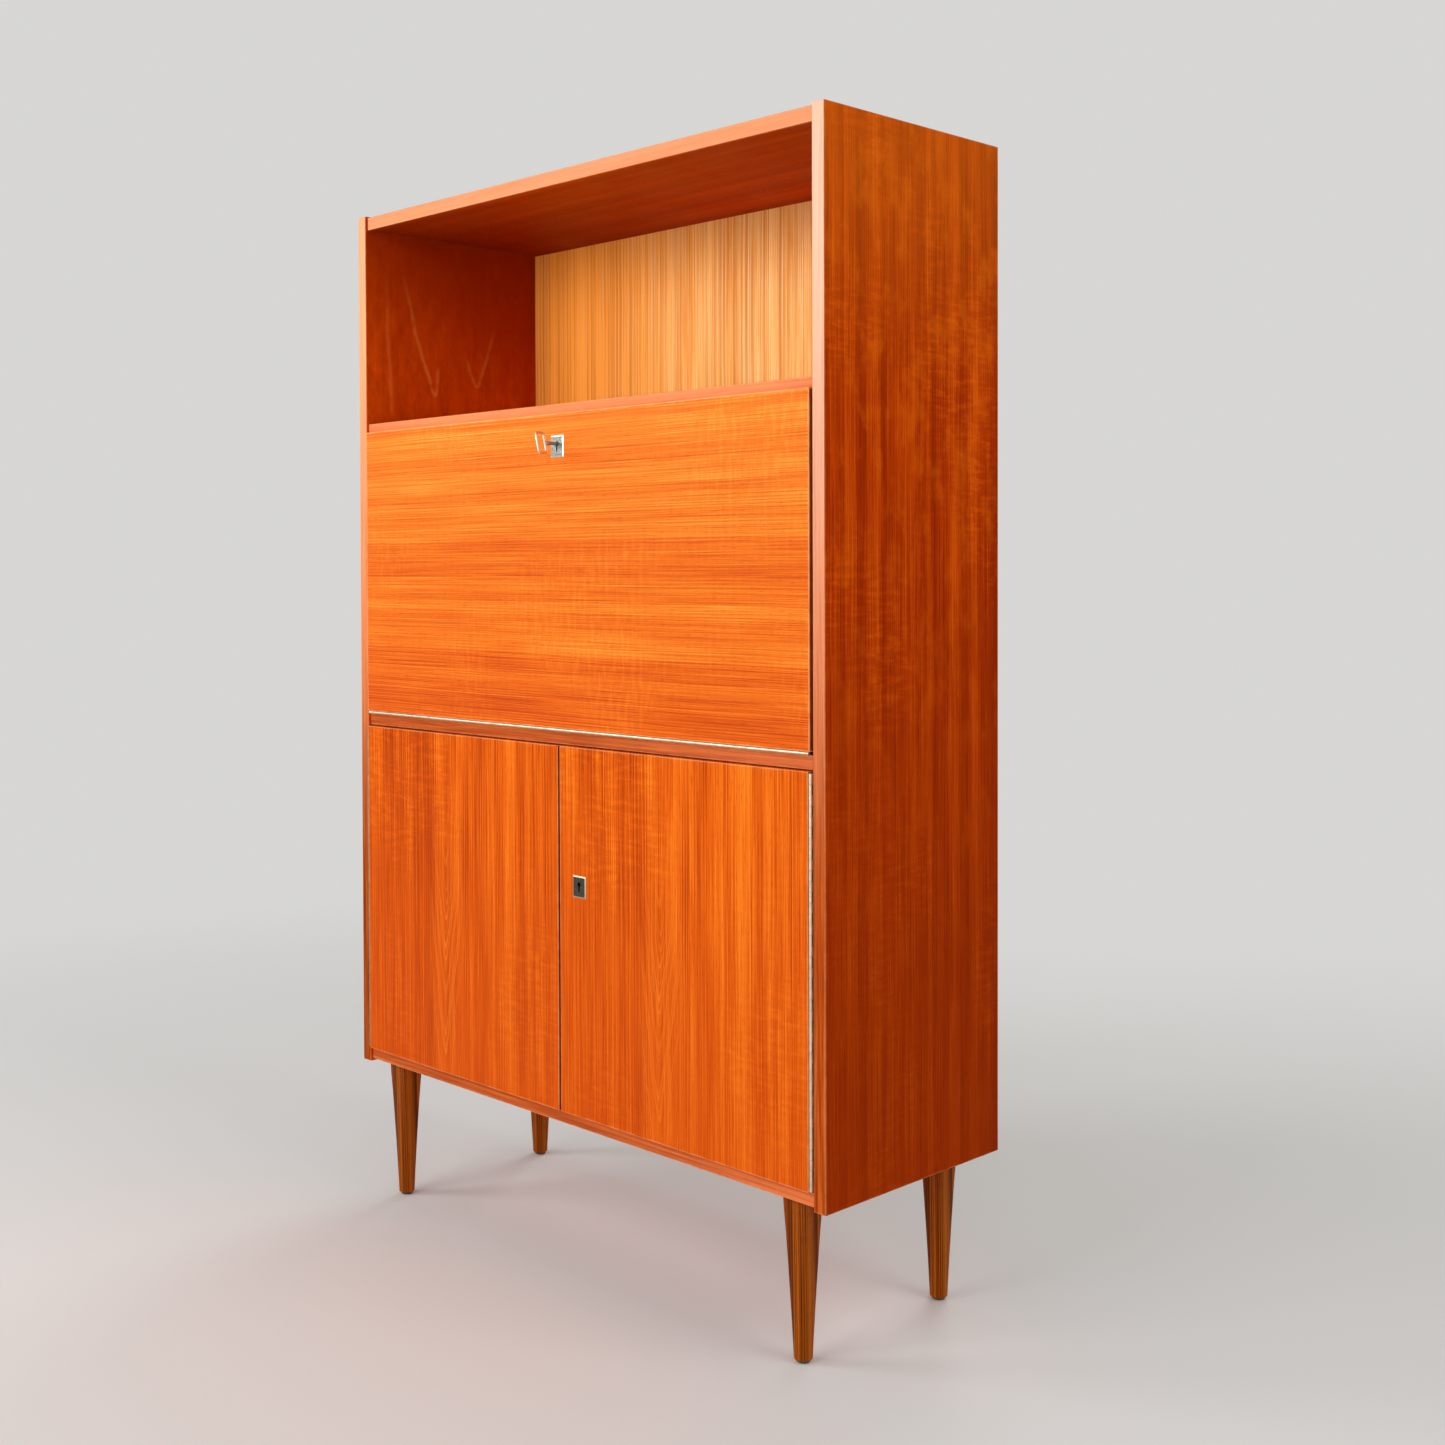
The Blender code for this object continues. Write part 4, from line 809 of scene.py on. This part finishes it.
NICKEL = metal_finish("Dulled nickel plate", (0.78, 0.75, 0.69), (0.34, 0.31, 0.26), 0.24)
STEEL = metal_finish("Zinc-plated steel", (0.56, 0.56, 0.54), (0.30, 0.29, 0.27), 0.34)
BRASS = metal_finish("Plain brass", (0.72, 0.53, 0.24), (0.36, 0.24, 0.10), 0.28)
HINGE_NICKEL = metal_finish("Hinge plate, cream with age", (0.84, 0.72, 0.54), (0.50, 0.40, 0.27), 0.36)
# The left door's hinge is a darker copy of the same hinge plate: painted shade.
SHADED_HINGE = metal_finish("Hinge plate, painted shade", (0.42, 0.26, 0.14), (0.22, 0.12, 0.06), 0.42)
KEY_NICKEL = metal_finish("Worn nickel of the key", (0.80, 0.74, 0.64), (0.46, 0.38, 0.28), 0.24)
SHANK_STEEL = metal_finish("Steel of the key's shank", (0.50, 0.46, 0.41), (0.14, 0.11, 0.09), 0.26)

# %% Moulded parts
def moulded_finish(name, colour, roughness, gloss, wear=0.02):
    """Moulded plastic with a fine skin and scuffed patches."""
    material, shader, source = new_material(name)
    scuff = use_group(source.tree, HANDLING, {"Place": source, "Scale": 10.0})["Smudge"]
    feed(shader, {
        "Base Color": mix_colour(scuff, colour, [value * 2.2 + wear for value in colour]),
        "Roughness": scuff * 0.2 + roughness,
        "Normal": bump(noise(source, 2500.0), 0.3, 0.0001),
        "Specular IOR Level": gloss,
    })
    print(f"moulded: {name}, roughness from {roughness}")
    return material


GLIDE_BLACK = moulded_finish("Black moulded glide", (0.018, 0.017, 0.016), 0.5, 0.5)
# A black sheet of painted shade behind a keyhole, for the dark inside of the lock.
KEYHOLE_SHADE_SHEET = moulded_finish("Painted shade behind a keyhole", (0.001,) * 3, 0.8, 0.0, 0.003)

# %% Plate finish
def plate_finish(name, field, border, tarnish):
    """Nickel whose flat field has gone dull, while its filed border has stayed bright."""
    material = metal_finish(name, border, tarnish, 0.28, 14.0)
    shader = material.node_tree.nodes["Principled BSDF"]
    worn = Value(material.node_tree, shader.inputs["Base Color"].links[0].from_socket)
    source = result(material.node_tree, "TexCoord", output="Object")
    blotch = stretch(noise(source, 420.0, 3.0, 0.65), 0.35, 0.65)
    dull = mix_colour(blotch, [value * 0.45 for value in field], field)
    flat = stretch(abs(facing(source, "Y")), 0.95, 0.985)
    feed(shader, {"Base Color": mix_colour(flat, worn, dull)})
    return material


FLAP_METALS = ((0.36, 0.38, 0.34), (0.80, 0.72, 0.58), (0.50, 0.44, 0.34))
DOOR_METALS = ((0.12, 0.105, 0.082), (0.62, 0.50, 0.33), (0.34, 0.26, 0.16))
FLAP_PLATE = plate_finish("Mottled plate on the flap", *FLAP_METALS)
DOOR_PLATE = plate_finish("Dark plate on the door", *DOOR_METALS)
print("materials:", len(bpy.data.materials))

# %% Finishes on the frame's own fittings
DRESSED_IN = (
    (STEEL, ("leg_bolt", "shelf_pin"), ("hinge_pin", "lock_case")),
    (BRASS, (), ("lock_bolt",)),
    (GLIDE_BLACK, ("glide",), ()),
    (NICKEL, ("stay_", "left_bolt", "drawer_knob", "flap_key"), ("escutcheon", "leaf")),
)
for node in NODES:
    for material, starts, ends in DRESSED_IN:
        if node.startswith(starts) or node.endswith(ends):
            dress(node, material)
            break
print("solids without a finish:", [node for node, item in NODES.items() if not item.data.materials])

# %% [markdown]
# ## Making the small fittings
# The frame blocks out the hinges, plates, key and knobs with few faces. Here they are made
# again with their real edges, inside the same space. All of them come from three moves
# that a metal shop would know: draw an outline out into a bar, turn a profile on a lathe,
# and run a ring of points along a wire. Each move writes into a bmesh, and one function
# turns the bmesh into a piece that rides with the solid that it belongs to.

# %% Bar, circle and rings
def prism(shape, outline, start, end, place):
    """A bar: an outline drawn out from start to end. place turns its numbers into a point."""
    rings = [[shape.verts.new(place(along, *point)) for point in outline] for along in (start, end)]
    for index in range(len(outline)):
        after = (index + 1) % len(outline)
        shape.faces.new((rings[0][index], rings[0][after], rings[1][after], rings[1][index]))
    for ring in rings:
        shape.faces.new(ring)


def arc(radius, start, end, steps, middle=(0.0, 0.0)):
    """Points on an arc with both its ends."""
    x, y = middle
    angles = [start + (end - start) * step / steps for step in range(steps + 1)]
    return [(x + radius * math.cos(angle), y + radius * math.sin(angle)) for angle in angles]


def circle(radius, steps):
    """Points all round a circle, each of them once."""
    return arc(radius, 0.0, math.tau, steps)[:-1]


def skin_rings(shape, rings, closed=False):
    """Faces between rings of points; a ring of one point is a tip."""
    pairs = list(zip(rings, rings[1:])) + ([(rings[-1], rings[0])] if closed else [])
    for first, second in pairs:
        count = max(len(first), len(second))
        for index in range(count):
            after = (index + 1) % count
            loop = [first[index % len(first)], first[after % len(first)]]
            loop += [second[after % len(second)], second[index % len(second)]]
            shape.faces.new(list(dict.fromkeys(loop)))


print("a circle in 4 steps:", [tuple(round(value, 3) for value in point) for point in circle(1.0, 4)])

# %% Lathe and screw head
def turned(shape, profile, place, steps):
    """A lathe: (along, radius) pairs spun about an axis. A radius of 0 is a tip."""
    rings = []
    for along, radius in profile:
        outline = circle(radius, steps) if radius else [(0.0, 0.0)]
        rings.append([shape.verts.new(place(along, *point)) for point in outline])
    skin_rings(shape, rings)


HEAD_RISE = 0.0004
HALF_SLOT = math.asin(0.16)


def slotted_head(shape, radius, turn, place):
    """A screw head: a thin disc with two half-moons on it, and a slot between them."""
    prism(shape, circle(radius, 24), 0.0, HEAD_RISE * 0.5, place)
    for start in (turn, turn + math.pi):
        moon = arc(radius * 0.96, start + HALF_SLOT, start + math.pi - HALF_SLOT, 12)
        prism(shape, moon, HEAD_RISE * 0.5, HEAD_RISE, place)


# %% From bmesh to piece
def new_piece(name, node, shape, material, stands_for=True, smooth=35.0):
    """A finished bmesh as an object that rides with a solid of the frame, or stands for it."""
    bmesh.ops.recalc_face_normals(shape, faces=shape.faces)
    mesh = bpy.data.meshes.new(name)
    shape.to_mesh(mesh)
    shape.free()
    mesh.shade_smooth()
    mesh.set_sharp_from_angle(angle=math.radians(smooth))
    mesh.materials.append(material)
    piece = bpy.data.objects.new(name, mesh)
    bpy.context.scene.collection.objects.link(piece)
    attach(piece, BODY_OF[node])
    if stands_for:
        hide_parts(node)
    print(f"{name}: {len(mesh.polygons)} faces on {BODY_OF[node]}")


# %% [markdown]
# ## Piano hinges
# A piano hinge is two strips of thin plate whose edges are cut into tabs and rolled round
# one long pin, by turns from the one leaf and from the other. A tab is a bar with a C for
# its outline, so the roll has its real wall and its gap. The strips are screwed down with
# small countersunk screws. When a flap or door opens, this is what shows.

# %% Outlines of a hinge
KNUCKLE_PITCH = 0.0135
KNUCKLE_GAP = 0.0003
ROLL = 0.0021
PLATE = 0.0007
LEAF_FROM = 0.0026
LEAF_TO = 0.0180
CHAMFER = 0.0002
SCREW_PITCH = 0.055
SCREW_ACROSS = 0.0112
SCREW_RADIUS = 0.0025


def leaf_outlines():
    """The rolled tab and the flat strip, both seen along the pin."""
    under = ROLL - PLATE
    tab = arc(ROLL, math.radians(90), math.radians(390), 22)
    tab += arc(under, math.radians(390), math.radians(90), 18)
    tab += [(LEAF_FROM + CHAMFER, under), (LEAF_FROM + CHAMFER, ROLL)]
    strip = [(LEAF_FROM, under), (LEAF_TO - CHAMFER, under), (LEAF_TO, under + CHAMFER)]
    strip += [(LEAF_TO, ROLL - CHAMFER), (LEAF_TO - CHAMFER, ROLL), (LEAF_FROM, ROLL)]
    return tab, strip


# %% One leaf
def make_leaf(node, length, odd, place, finish):
    """One leaf of a hinge with its screws. place(u, v, w): along, away from and beside the pin."""
    tab, strip = leaf_outlines()
    shape = bmesh.new()
    prism(shape, strip, 0.0, length, place)
    count = 2 * round(length / KNUCKLE_PITCH / 2) + 1
    for index in range(odd, count, 2):
        start = max(length * index / count + KNUCKLE_GAP / 2, 0.0)
        end = min(length * (index + 1) / count - KNUCKLE_GAP / 2, length)
        prism(shape, tab, start, end, place)
    new_piece(f"{node}_rolled", node, shape, finish)
    shape = bmesh.new()
    screws = int(length // SCREW_PITCH)
    for index in range(screws):
        middle = length * (index + 0.5) / screws

        def head(out, a, b):
            return place(middle + a, SCREW_ACROSS + b, ROLL - PLATE - out)

        slotted_head(shape, SCREW_RADIUS, 0.7 * index * index, head)
    new_piece(f"{node}_screws", node, shape, STEEL, False)
    return count


# %% Both leaves of each hinge
def make_hinge(joint, leaves, upright, finish):
    """Both leaves of a hinge; leaves are (solid, way that its strip lies from the pin)."""
    pin = pin_of(joint)
    low, high = corners(leaves[0][0])
    length = high.z - low.z if upright else high.x - low.x
    for odd, (node, toward) in zip((1, 0), leaves):

        def place(u, v, w):
            if upright:
                return (pin.x + toward * w, pin.y + v, low.z + u)
            return (low.x + u, pin.y + v, pin.z + toward * w)

        tabs = make_leaf(node, length, odd, place, finish)
    print(f"{joint}: {tabs} tabs over {length:.3f} m")


make_hinge("flap_hinge", (("flap_hinge_leaf", 1.0), ("desk_hinge_leaf", -1.0)), False, HINGE_NICKEL)
# The left door's hinge gets the darker copy: painted shade.
for side, sign, finish in (("left", -1.0, SHADED_HINGE), ("right", 1.0, HINGE_NICKEL)):
    leaves = ((f"{side}_door_hinge_leaf", -sign), (f"{side}_side_hinge_leaf", sign))
    make_hinge(f"{side}_door_hinge", leaves, True, finish)

# %% [markdown]
# ## Plates and key
# The escutcheon plates have a filed border and a keyhole that goes right through. The ring
# of metal round the keyhole is one face with a hole, which triangle_fill makes from two
# loops of edges. Behind each plate lies a black sheet: painted shade for the dark inside of the lock.

# %% Outlines of a plate
PLATE_DROP = 0.0035
BORDER = 0.0021
KEYHOLE_RADIUS = 0.0034
SLOT_HALF = 0.0015
SLOT_DROP = 0.0105
PLATE_DEEP = 0.0010
RIM_DEEP = 0.0008
# Depths of the black sheet of painted shade behind a keyhole.
SHADE_SHEET_DEPTHS = (0.00105, 0.00125)
PIN_INSET = 0.0040
PIN_DOME = ((0.00001, 0.0), (0.00005, 0.0006), (0.00021, 0.0010), (0.00061, 0.0010), (0.00061, 0.0))


def keyhole():
    """A keyhole's outline about the key's axis: a round with a slot under it."""
    lean = math.asin(SLOT_HALF / KEYHOLE_RADIUS)
    round_part = arc(KEYHOLE_RADIUS, -math.pi / 2 + lean, 1.5 * math.pi - lean, 20)
    return round_part + [(-SLOT_HALF, -SLOT_DROP), (SLOT_HALF, -SLOT_DROP)]


def rounded(corner, steps, middles):
    """An outline that goes round four quarter arcs about their middles."""
    points = []
    for turn, middle in enumerate(middles):
        points += arc(corner, turn * math.pi / 2, (turn + 1) * math.pi / 2, steps, middle)
    return points


def rectangle(half_width, half_height, corner=0.0004):
    """A rectangle with small round corners, its middle under the key's axis."""
    x = half_width - corner
    z = half_height - corner
    signs = ((1, 1), (-1, 1), (-1, -1), (1, -1))
    return rounded(corner, 3, [(x * across, z * up - PLATE_DROP) for across, up in signs])


print(f"keyhole: {len(keyhole())} points, plate's edge: {len(rectangle(0.014, 0.0155))} points")

# %% Plate with a hole
def loop_of(shape, points, place, depth):
    """A closed loop of edges at a depth, and its points."""
    verts = [shape.verts.new(place(depth, *point)) for point in points]
    edges = [shape.edges.new((verts[index - 1], verts[index])) for index in range(len(verts))]
    return verts, edges


def holed_plate(shape, outer, inner, front, back, place, rim=None):
    """A plate from back to front with a hole; rim is the outline of a filed border's foot."""
    hole_front, hole_edges = loop_of(shape, inner, place, front)
    hole_back, back_edges = loop_of(shape, inner, place, back)
    field, field_edges = loop_of(shape, outer, place, front)
    foot, foot_edges = loop_of(shape, rim or outer, place, back)
    walls = [field]
    if rim:
        walls.append([shape.verts.new(place(RIM_DEEP, *point)) for point in rim])
    skin_rings(shape, walls + [foot])
    skin_rings(shape, [hole_front, hole_back])
    bmesh.ops.triangle_fill(shape, use_beauty=True, edges=hole_edges + field_edges)
    bmesh.ops.triangle_fill(shape, use_beauty=True, edges=back_edges + foot_edges)


# %% Escutcheon plates
def make_plate(node, material, shank_room):
    """An escutcheon plate, a black sheet of painted shade behind it, and its two pins."""
    low, high = corners(node)
    middle = (low + high) / 2
    half = (high - low) / 2

    def place(depth, x, z):
        return (middle.x + x, low.y + depth, middle.z + PLATE_DROP + z)

    shape = bmesh.new()
    outer = rectangle(half.x, half.z)
    field = rectangle(half.x - BORDER, half.z - BORDER)
    holed_plate(shape, field, keyhole(), 0.0, PLATE_DEEP, place, outer)
    new_piece(f"{node}_filed", node, shape, material, smooth=12.0)
    shape = bmesh.new()
    cover = rectangle(0.0060, 0.0085)
    if shank_room:
        holed_plate(shape, cover, circle(shank_room, 20), *SHADE_SHEET_DEPTHS, place)
    else:
        prism(shape, cover, *SHADE_SHEET_DEPTHS, place)
    new_piece(f"{node}_shade_sheet", node, shape, KEYHOLE_SHADE_SHEET, False)
    shape = bmesh.new()
    for up in (half.z - PIN_INSET, PIN_INSET - half.z):
        turned(shape, PIN_DOME, lambda depth, a, b: place(depth, a, b + up - PLATE_DROP), 12)
    new_piece(f"{node}_pins", node, shape, NICKEL, False)
    print(f"{node}: {half.x * 2000:.0f} x {half.z * 2000:.0f} mm, border {BORDER * 1000} mm")


make_plate("flap_escutcheon", FLAP_PLATE, 0.0026)
make_plate("door_escutcheon", DOOR_PLATE, 0.0)

# %% [markdown]
# The key's bow is an open oblong of thick wire that leans to one side, as the key was left
# a little turned in its lock. Its shank and collar are turned, and a small bit at the end
# throws the bolt. Both pieces stand for the frame's one solid key.

# %% Path of the bow
BOW_DEPTH = 0.0175
BOW_HALF = 0.0165
BOW_BAR = 0.0040
BOW_THICK = 0.0030
BOW_CORNER = 0.0040
KEY_LEAN = math.radians(-14.5)
SHANK_RADIUS = 0.0024


def bow_path():
    """Middle line of the bow's wire, as (back from the front, up from the axis)."""
    near = BOW_BAR / 2 + BOW_CORNER
    far = BOW_DEPTH - near
    up = BOW_HALF - near
    return rounded(BOW_CORNER, 6, [(far, up), (near, up), (near, -up), (far, -up)])


key_low, key_high = corners("flap_key")
key_axis = pin_of("flap_key_turn")
key_turn = Matrix.Rotation(KEY_LEAN, 3, "Y")


def in_key(back, x, z):
    """A point of the key from its front end: back along its axis, and off it."""
    off = key_turn @ Vector((x, 0.0, z))
    return (key_axis.x + off.x, key_low.y + back, key_axis.z + off.z)


print(f"bow: a wire through {len(bow_path())} points")

# %% Bow
def make_bow():
    """The key's bow: an oval wire bent round an oblong."""
    shape = bmesh.new()
    path = bow_path()
    rings = []
    for index, (back, up) in enumerate(path):
        before, after = path[index - 1], path[(index + 1) % len(path)]
        way = Vector((after[0] - before[0], after[1] - before[1])).normalized()
        ring = []
        for across, out in circle(1.0, 14):
            away = out * BOW_BAR / 2
            point = in_key(back - way.y * away, across * BOW_THICK / 2, up + way.x * away)
            ring.append(shape.verts.new(point))
        rings.append(ring)
    skin_rings(shape, rings, closed=True)
    new_piece("flap_key_bow", "flap_key", shape, KEY_NICKEL)


make_bow()

# %% Shank
def make_shank():
    """The key's collar, shank and bit."""
    collar = ((-0.0022, 0.0), (-0.0022, 0.0012), (-0.0004, 0.0036), (0.0006, 0.0036), (0.0012, 0.0030))
    collar += ((0.0018, 0.0036), (0.0028, 0.0036), (0.0032, SHANK_RADIUS))
    profile = [(BOW_DEPTH + back, radius) for back, radius in collar]
    length = key_high.y - key_low.y
    profile += [(length - 0.0004, SHANK_RADIUS), (length, SHANK_RADIUS - 0.0004), (length, 0.0)]
    shape = bmesh.new()
    turned(shape, profile, in_key, 24)
    bit = [(-0.0011, -0.0020), (0.0011, -0.0020), (0.0011, -0.0072), (-0.0011, -0.0072)]
    prism(shape, bit, length - 0.0044, length - 0.0003, in_key)
    new_piece("flap_key_shank", "flap_key", shape, SHANK_STEEL)
    print(f"key: {length * 1000:.1f} mm long")


make_shank()

# %% [markdown]
# ## Legs and knobs
# Each leg is square where it meets the desk and turns round towards its foot. A
# superellipse does both: with a high exponent it is a square with soft corners, and with
# an exponent of 2 it is a circle. Rings of it are stacked from the top down.

# %% Legs
LEG_TOP_HALF = 0.0185
LEG_FOOT_HALF = 0.012
LEG_SIDES = 48
LEG_STEPS = 28
FOOT_CHAMFER = 0.0015


def leg_ring(shape, middle, half, exponent, height):
    """One closed ring of a leg."""
    ring = []
    for index in range(LEG_SIDES):
        angle = math.tau * (index + 0.5) / LEG_SIDES
        pair = (math.cos(angle), math.sin(angle))
        x, y = (math.copysign(abs(value) ** (2 / exponent), value) for value in pair)
        ring.append(shape.verts.new((middle.x + half * x, middle.y + half * y, height)))
    return ring


def make_leg(node):
    """A leg from its square top to its round foot."""
    low, high = corners(node)
    middle = (low + high) / 2
    shape = bmesh.new()
    rings = []
    for step in range(LEG_STEPS + 1):
        share = step / LEG_STEPS
        diagonal = 1.414 - 0.414 * share ** 0.8
        exponent = min(1 / max(0.5 - math.log2(diagonal), 0.05), 16.0)
        half = LEG_TOP_HALF + (LEG_FOOT_HALF - LEG_TOP_HALF) * share
        height = high.z + (low.z + FOOT_CHAMFER - high.z) * share
        rings.append(leg_ring(shape, middle, half, exponent, height))
    rings.append(leg_ring(shape, middle, LEG_FOOT_HALF - FOOT_CHAMFER, 2.0, low.z))
    skin_rings(shape, rings)
    shape.faces.new(rings[0])
    shape.faces.new(rings[-1])
    wood = NODES[node].data.materials[0]
    new_piece(f"{node}_shaped", node, shape, wood, smooth=40.0)


for node in legs:
    make_leg(node)

# %% Knobs
KNOB_PROFILE = (
    (0.0, 0.0), (0.0, 0.0050), (0.0006, 0.0068), (0.0018, 0.0082), (0.0034, 0.0089), (0.0050, 0.0090),
    (0.0066, 0.0085), (0.0080, 0.0072), (0.0095, 0.0056), (0.0115, 0.0047), (0.0140, 0.0045),
    (0.0165, 0.0047), (0.0180, 0.0052), (0.0180, 0.0020), (0.0297, 0.0020), (0.0297, 0.0),
)


def make_knob(node):
    """A turned knob with a shallow dome, its neck and its shank through the drawer's front."""
    low, high = corners(node)
    x, _, z = (low + high) / 2
    shape = bmesh.new()
    turned(shape, KNOB_PROFILE, lambda along, a, b: (x + a, low.y + along, z + b), 40)
    new_piece(f"{node}_turned", node, shape, BRASS, smooth=40.0)


for node in ("drawer_knob_left", "drawer_knob_right"):
    make_knob(node)

# %% [markdown]
# ## Screws in the locks
# The two lock cases are let into the wood, and show once the flap and the doors stand open.
# Four slotted screws hold each of them, turned to where the screwdriver left them.

# %% Lock screws
LOCK_SCREW_RADIUS = 0.0026
LOCK_SCREW_INSET = 0.006


def screw_down(node):
    """A slotted head in each corner of a lock case, on the face that looks into the desk."""
    low, high = corners(node)
    inset = LOCK_SCREW_INSET
    spots = [(x, z) for x in (low.x + inset, high.x - inset) for z in (low.z + inset, high.z - inset)]
    shape = bmesh.new()
    for index, (x, z) in enumerate(spots):

        def head(out, a, b):
            return (x + a, high.y - 0.0001 + out, z + b)

        slotted_head(shape, LOCK_SCREW_RADIUS, 0.9 * index * index + 0.3, head)
    new_piece(f"{node}_screws", node, shape, STEEL, False)


for node in ("flap_lock_case", "door_lock_case"):
    screw_down(node)

# %% [markdown]
# ## Broken arrises on the metal
# The stays, their brackets and the bolt are cut from flat bar, whose edges are broken with
# a file. A bevel modifier does that to the frame's own solids and leaves their mesh alone.

# %% Filed edges
FILED = ("stay_bar", "stay_bracket", "stay_stud", "left_bolt")
FILED_WIDTH = 0.00025
SEAM = 0.000002
for node, solid in NODES.items():
    if node.startswith(FILED):
        weld = solid.modifiers.new("Join seams", "WELD")
        weld.merge_threshold = SEAM
        edge = solid.modifiers.new("Filed edges", "BEVEL")
        edge.width = FILED_WIDTH
        edge.segments = 2
        edge.limit_method = "ANGLE"
        edge.angle_limit = math.radians(40)
print("filed:", sum(node.startswith(FILED) for node in NODES))

# %% [markdown]
# ## Floor and air
# A plain pale floor carries the shadow. Far out it melts into the pale air round it, so
# that no horizon cuts through the desk.

# %% Floor
AIR = (0.68, 0.675, 0.66)
FLOOR_COLOUR = (0.78, 0.775, 0.76)
FLOOR_RADIUS = 14.0


def shown_to(tree, *rays):
    """1 for the kinds of ray that should see a thing as it is, and 0 for all others."""
    light_path = add_node(tree, "LightPath").outputs
    share = Value(tree, light_path[rays[0]])
    for ray in rays[1:]:
        share = greater(share, light_path[ray])
    return share


def make_floor():
    """A round floor whose far part shows the colour of the air."""
    shape = bmesh.new()
    bmesh.ops.create_circle(shape, cap_ends=True, radius=FLOOR_RADIUS, segments=96)
    mesh = bpy.data.meshes.new("studio_floor")
    shape.to_mesh(mesh)
    shape.free()
    floor = bpy.data.objects.new("studio_floor", mesh)
    bpy.context.scene.collection.objects.link(floor)
    material, shader, source = new_material("Pale floor")
    feed(shader, {"Base Color": (*FLOOR_COLOUR, 1.0), "Roughness": 0.7, "Specular IOR Level": 0.2})
    tree = material.node_tree
    away = result(tree, "VectorMath", {0: source}, "Value", operation="LENGTH")
    share = stretch(away, 0.9, 3.2) * shown_to(tree, "Is Camera Ray", "Is Glossy Ray")
    air = result(tree, "Emission", {"Color": (*AIR, 1.0), "Strength": 1.0})
    both = result(tree, "MixShader", {0: share, 1: shader.outputs[0], 2: air})
    feed(tree.nodes["Material Output"], {"Surface": both})
    mesh.materials.append(material)
    print(f"floor: {FLOOR_RADIUS * 2:.0f} m across")


make_floor()

# %% Air
AMBIENT = 0.36


def make_air():
    """Even light from all round, which shows as the pale air itself to the camera."""
    world = bpy.data.worlds.new("Studio air")
    bpy.context.scene.world = world
    world.use_nodes = True
    tree = world.node_tree
    lit = tree.nodes["Background"]
    feed(lit, {"Color": (1.0, 0.99, 0.97, 1.0), "Strength": AMBIENT})
    shown = result(tree, "Background", {"Color": (*AIR, 1.0), "Strength": 1.0})
    seen = shown_to(tree, "Is Camera Ray", "Is Glossy Ray", "Is Transmission Ray")
    both = result(tree, "MixShader", {0: seen, 1: lit.outputs[0], 2: shown})
    feed(tree.nodes["World Output"], {"Surface": both})
    print(f"air: strength {AMBIENT} on the desk")


make_air()

# %% [markdown]
# ## Lamps
# One broad soft lamp stands in front of the desk and a second to its left, so that the front
# is bright and the right side is half as bright. A third fills from the front right, a fourth,
# high on the right, lights the upper part of that side more than its foot, and a fifth keeps
# the back readable. A sixth, low, narrow and weak, shines only into the open shelf.

# %% Lamps
LAMPS = (
    ("front_lamp", (-0.4, -3.7, 1.8), (0.0, 0.0, 1.1), 2.4, 62.0),
    ("left_lamp", (-2.6, -2.6, 2.35), (0.0, -0.1, 1.2), 1.3, 38.0),
    ("fill_lamp", (2.9, -2.3, 1.5), (0.2, 0.0, 1.1), 1.6, 20.0),
    ("right_lamp", (2.6, 0.3, 2.9), (0.4, 0.0, 1.4), 1.4, 20.0),
    ("back_lamp", (-1.2, 3.4, 2.4), (0.0, 0.0, 0.9), 2.0, 40.0),
    ("shelf_lamp", (0.0, -1.4, 1.30), (0.0, 0.16, 1.35), 0.90, 0.27),
)


def add_lamp(name, place, target, size, power):
    """A square soft lamp aimed at a point."""
    data = bpy.data.lights.new(name, "AREA")
    data.shape = "SQUARE"
    data.size = size
    data.energy = power
    lamp = bpy.data.objects.new(name, data)
    lamp.location = place
    aim = Vector(target) - Vector(place)
    lamp.rotation_mode = "QUATERNION"
    lamp.rotation_quaternion = aim.to_track_quat("-Z", "Y")
    bpy.context.scene.collection.objects.link(lamp)
    return data


lamps = {name: add_lamp(name, *rest) for name, *rest in LAMPS}
shelf_lamp = lamps["shelf_lamp"]
shelf_lamp.shape = "RECTANGLE"
shelf_lamp.size_y = 0.30
shelf_lamp.spread = math.radians(9.0)
print("lamps:", ", ".join(lamps))

# %% [markdown]
# ## Camera
# The camera stands in front of the right corner at eye height for a seated person, and
# looks slightly down. Its distance, its lens and a small vertical shift set how the
# uprights and the boards run.

# %% Camera
CAMERA_PLACE = (1.9319, -1.7560, 0.9948)
CAMERA_YAW = math.radians(45.257)
CAMERA_PITCH = math.radians(-1.095)
CAMERA_ROLL = math.radians(-0.173)
CAMERA_LENS = 44.181
CAMERA_SHIFT = (0.00334, -0.08054)


def make_camera():
    """A level camera with a long normal lens."""
    data = bpy.data.cameras.new("studio_camera")
    data.sensor_width = 36.0
    data.lens = CAMERA_LENS
    data.shift_x, data.shift_y = CAMERA_SHIFT
    camera = bpy.data.objects.new("studio_camera", data)
    turn = Matrix.Rotation(CAMERA_YAW, 4, "Z") @ Matrix.Rotation(math.pi / 2 + CAMERA_PITCH, 4, "X")
    turn = turn @ Matrix.Rotation(CAMERA_ROLL, 4, "Z")
    camera.matrix_world = Matrix.Translation(CAMERA_PLACE) @ turn
    bpy.context.scene.collection.objects.link(camera)
    bpy.context.scene.camera = camera
    print(f"camera: {CAMERA_LENS} mm lens at {CAMERA_PLACE}")


make_camera()
bpy.context.scene.view_settings.view_transform = "Standard"
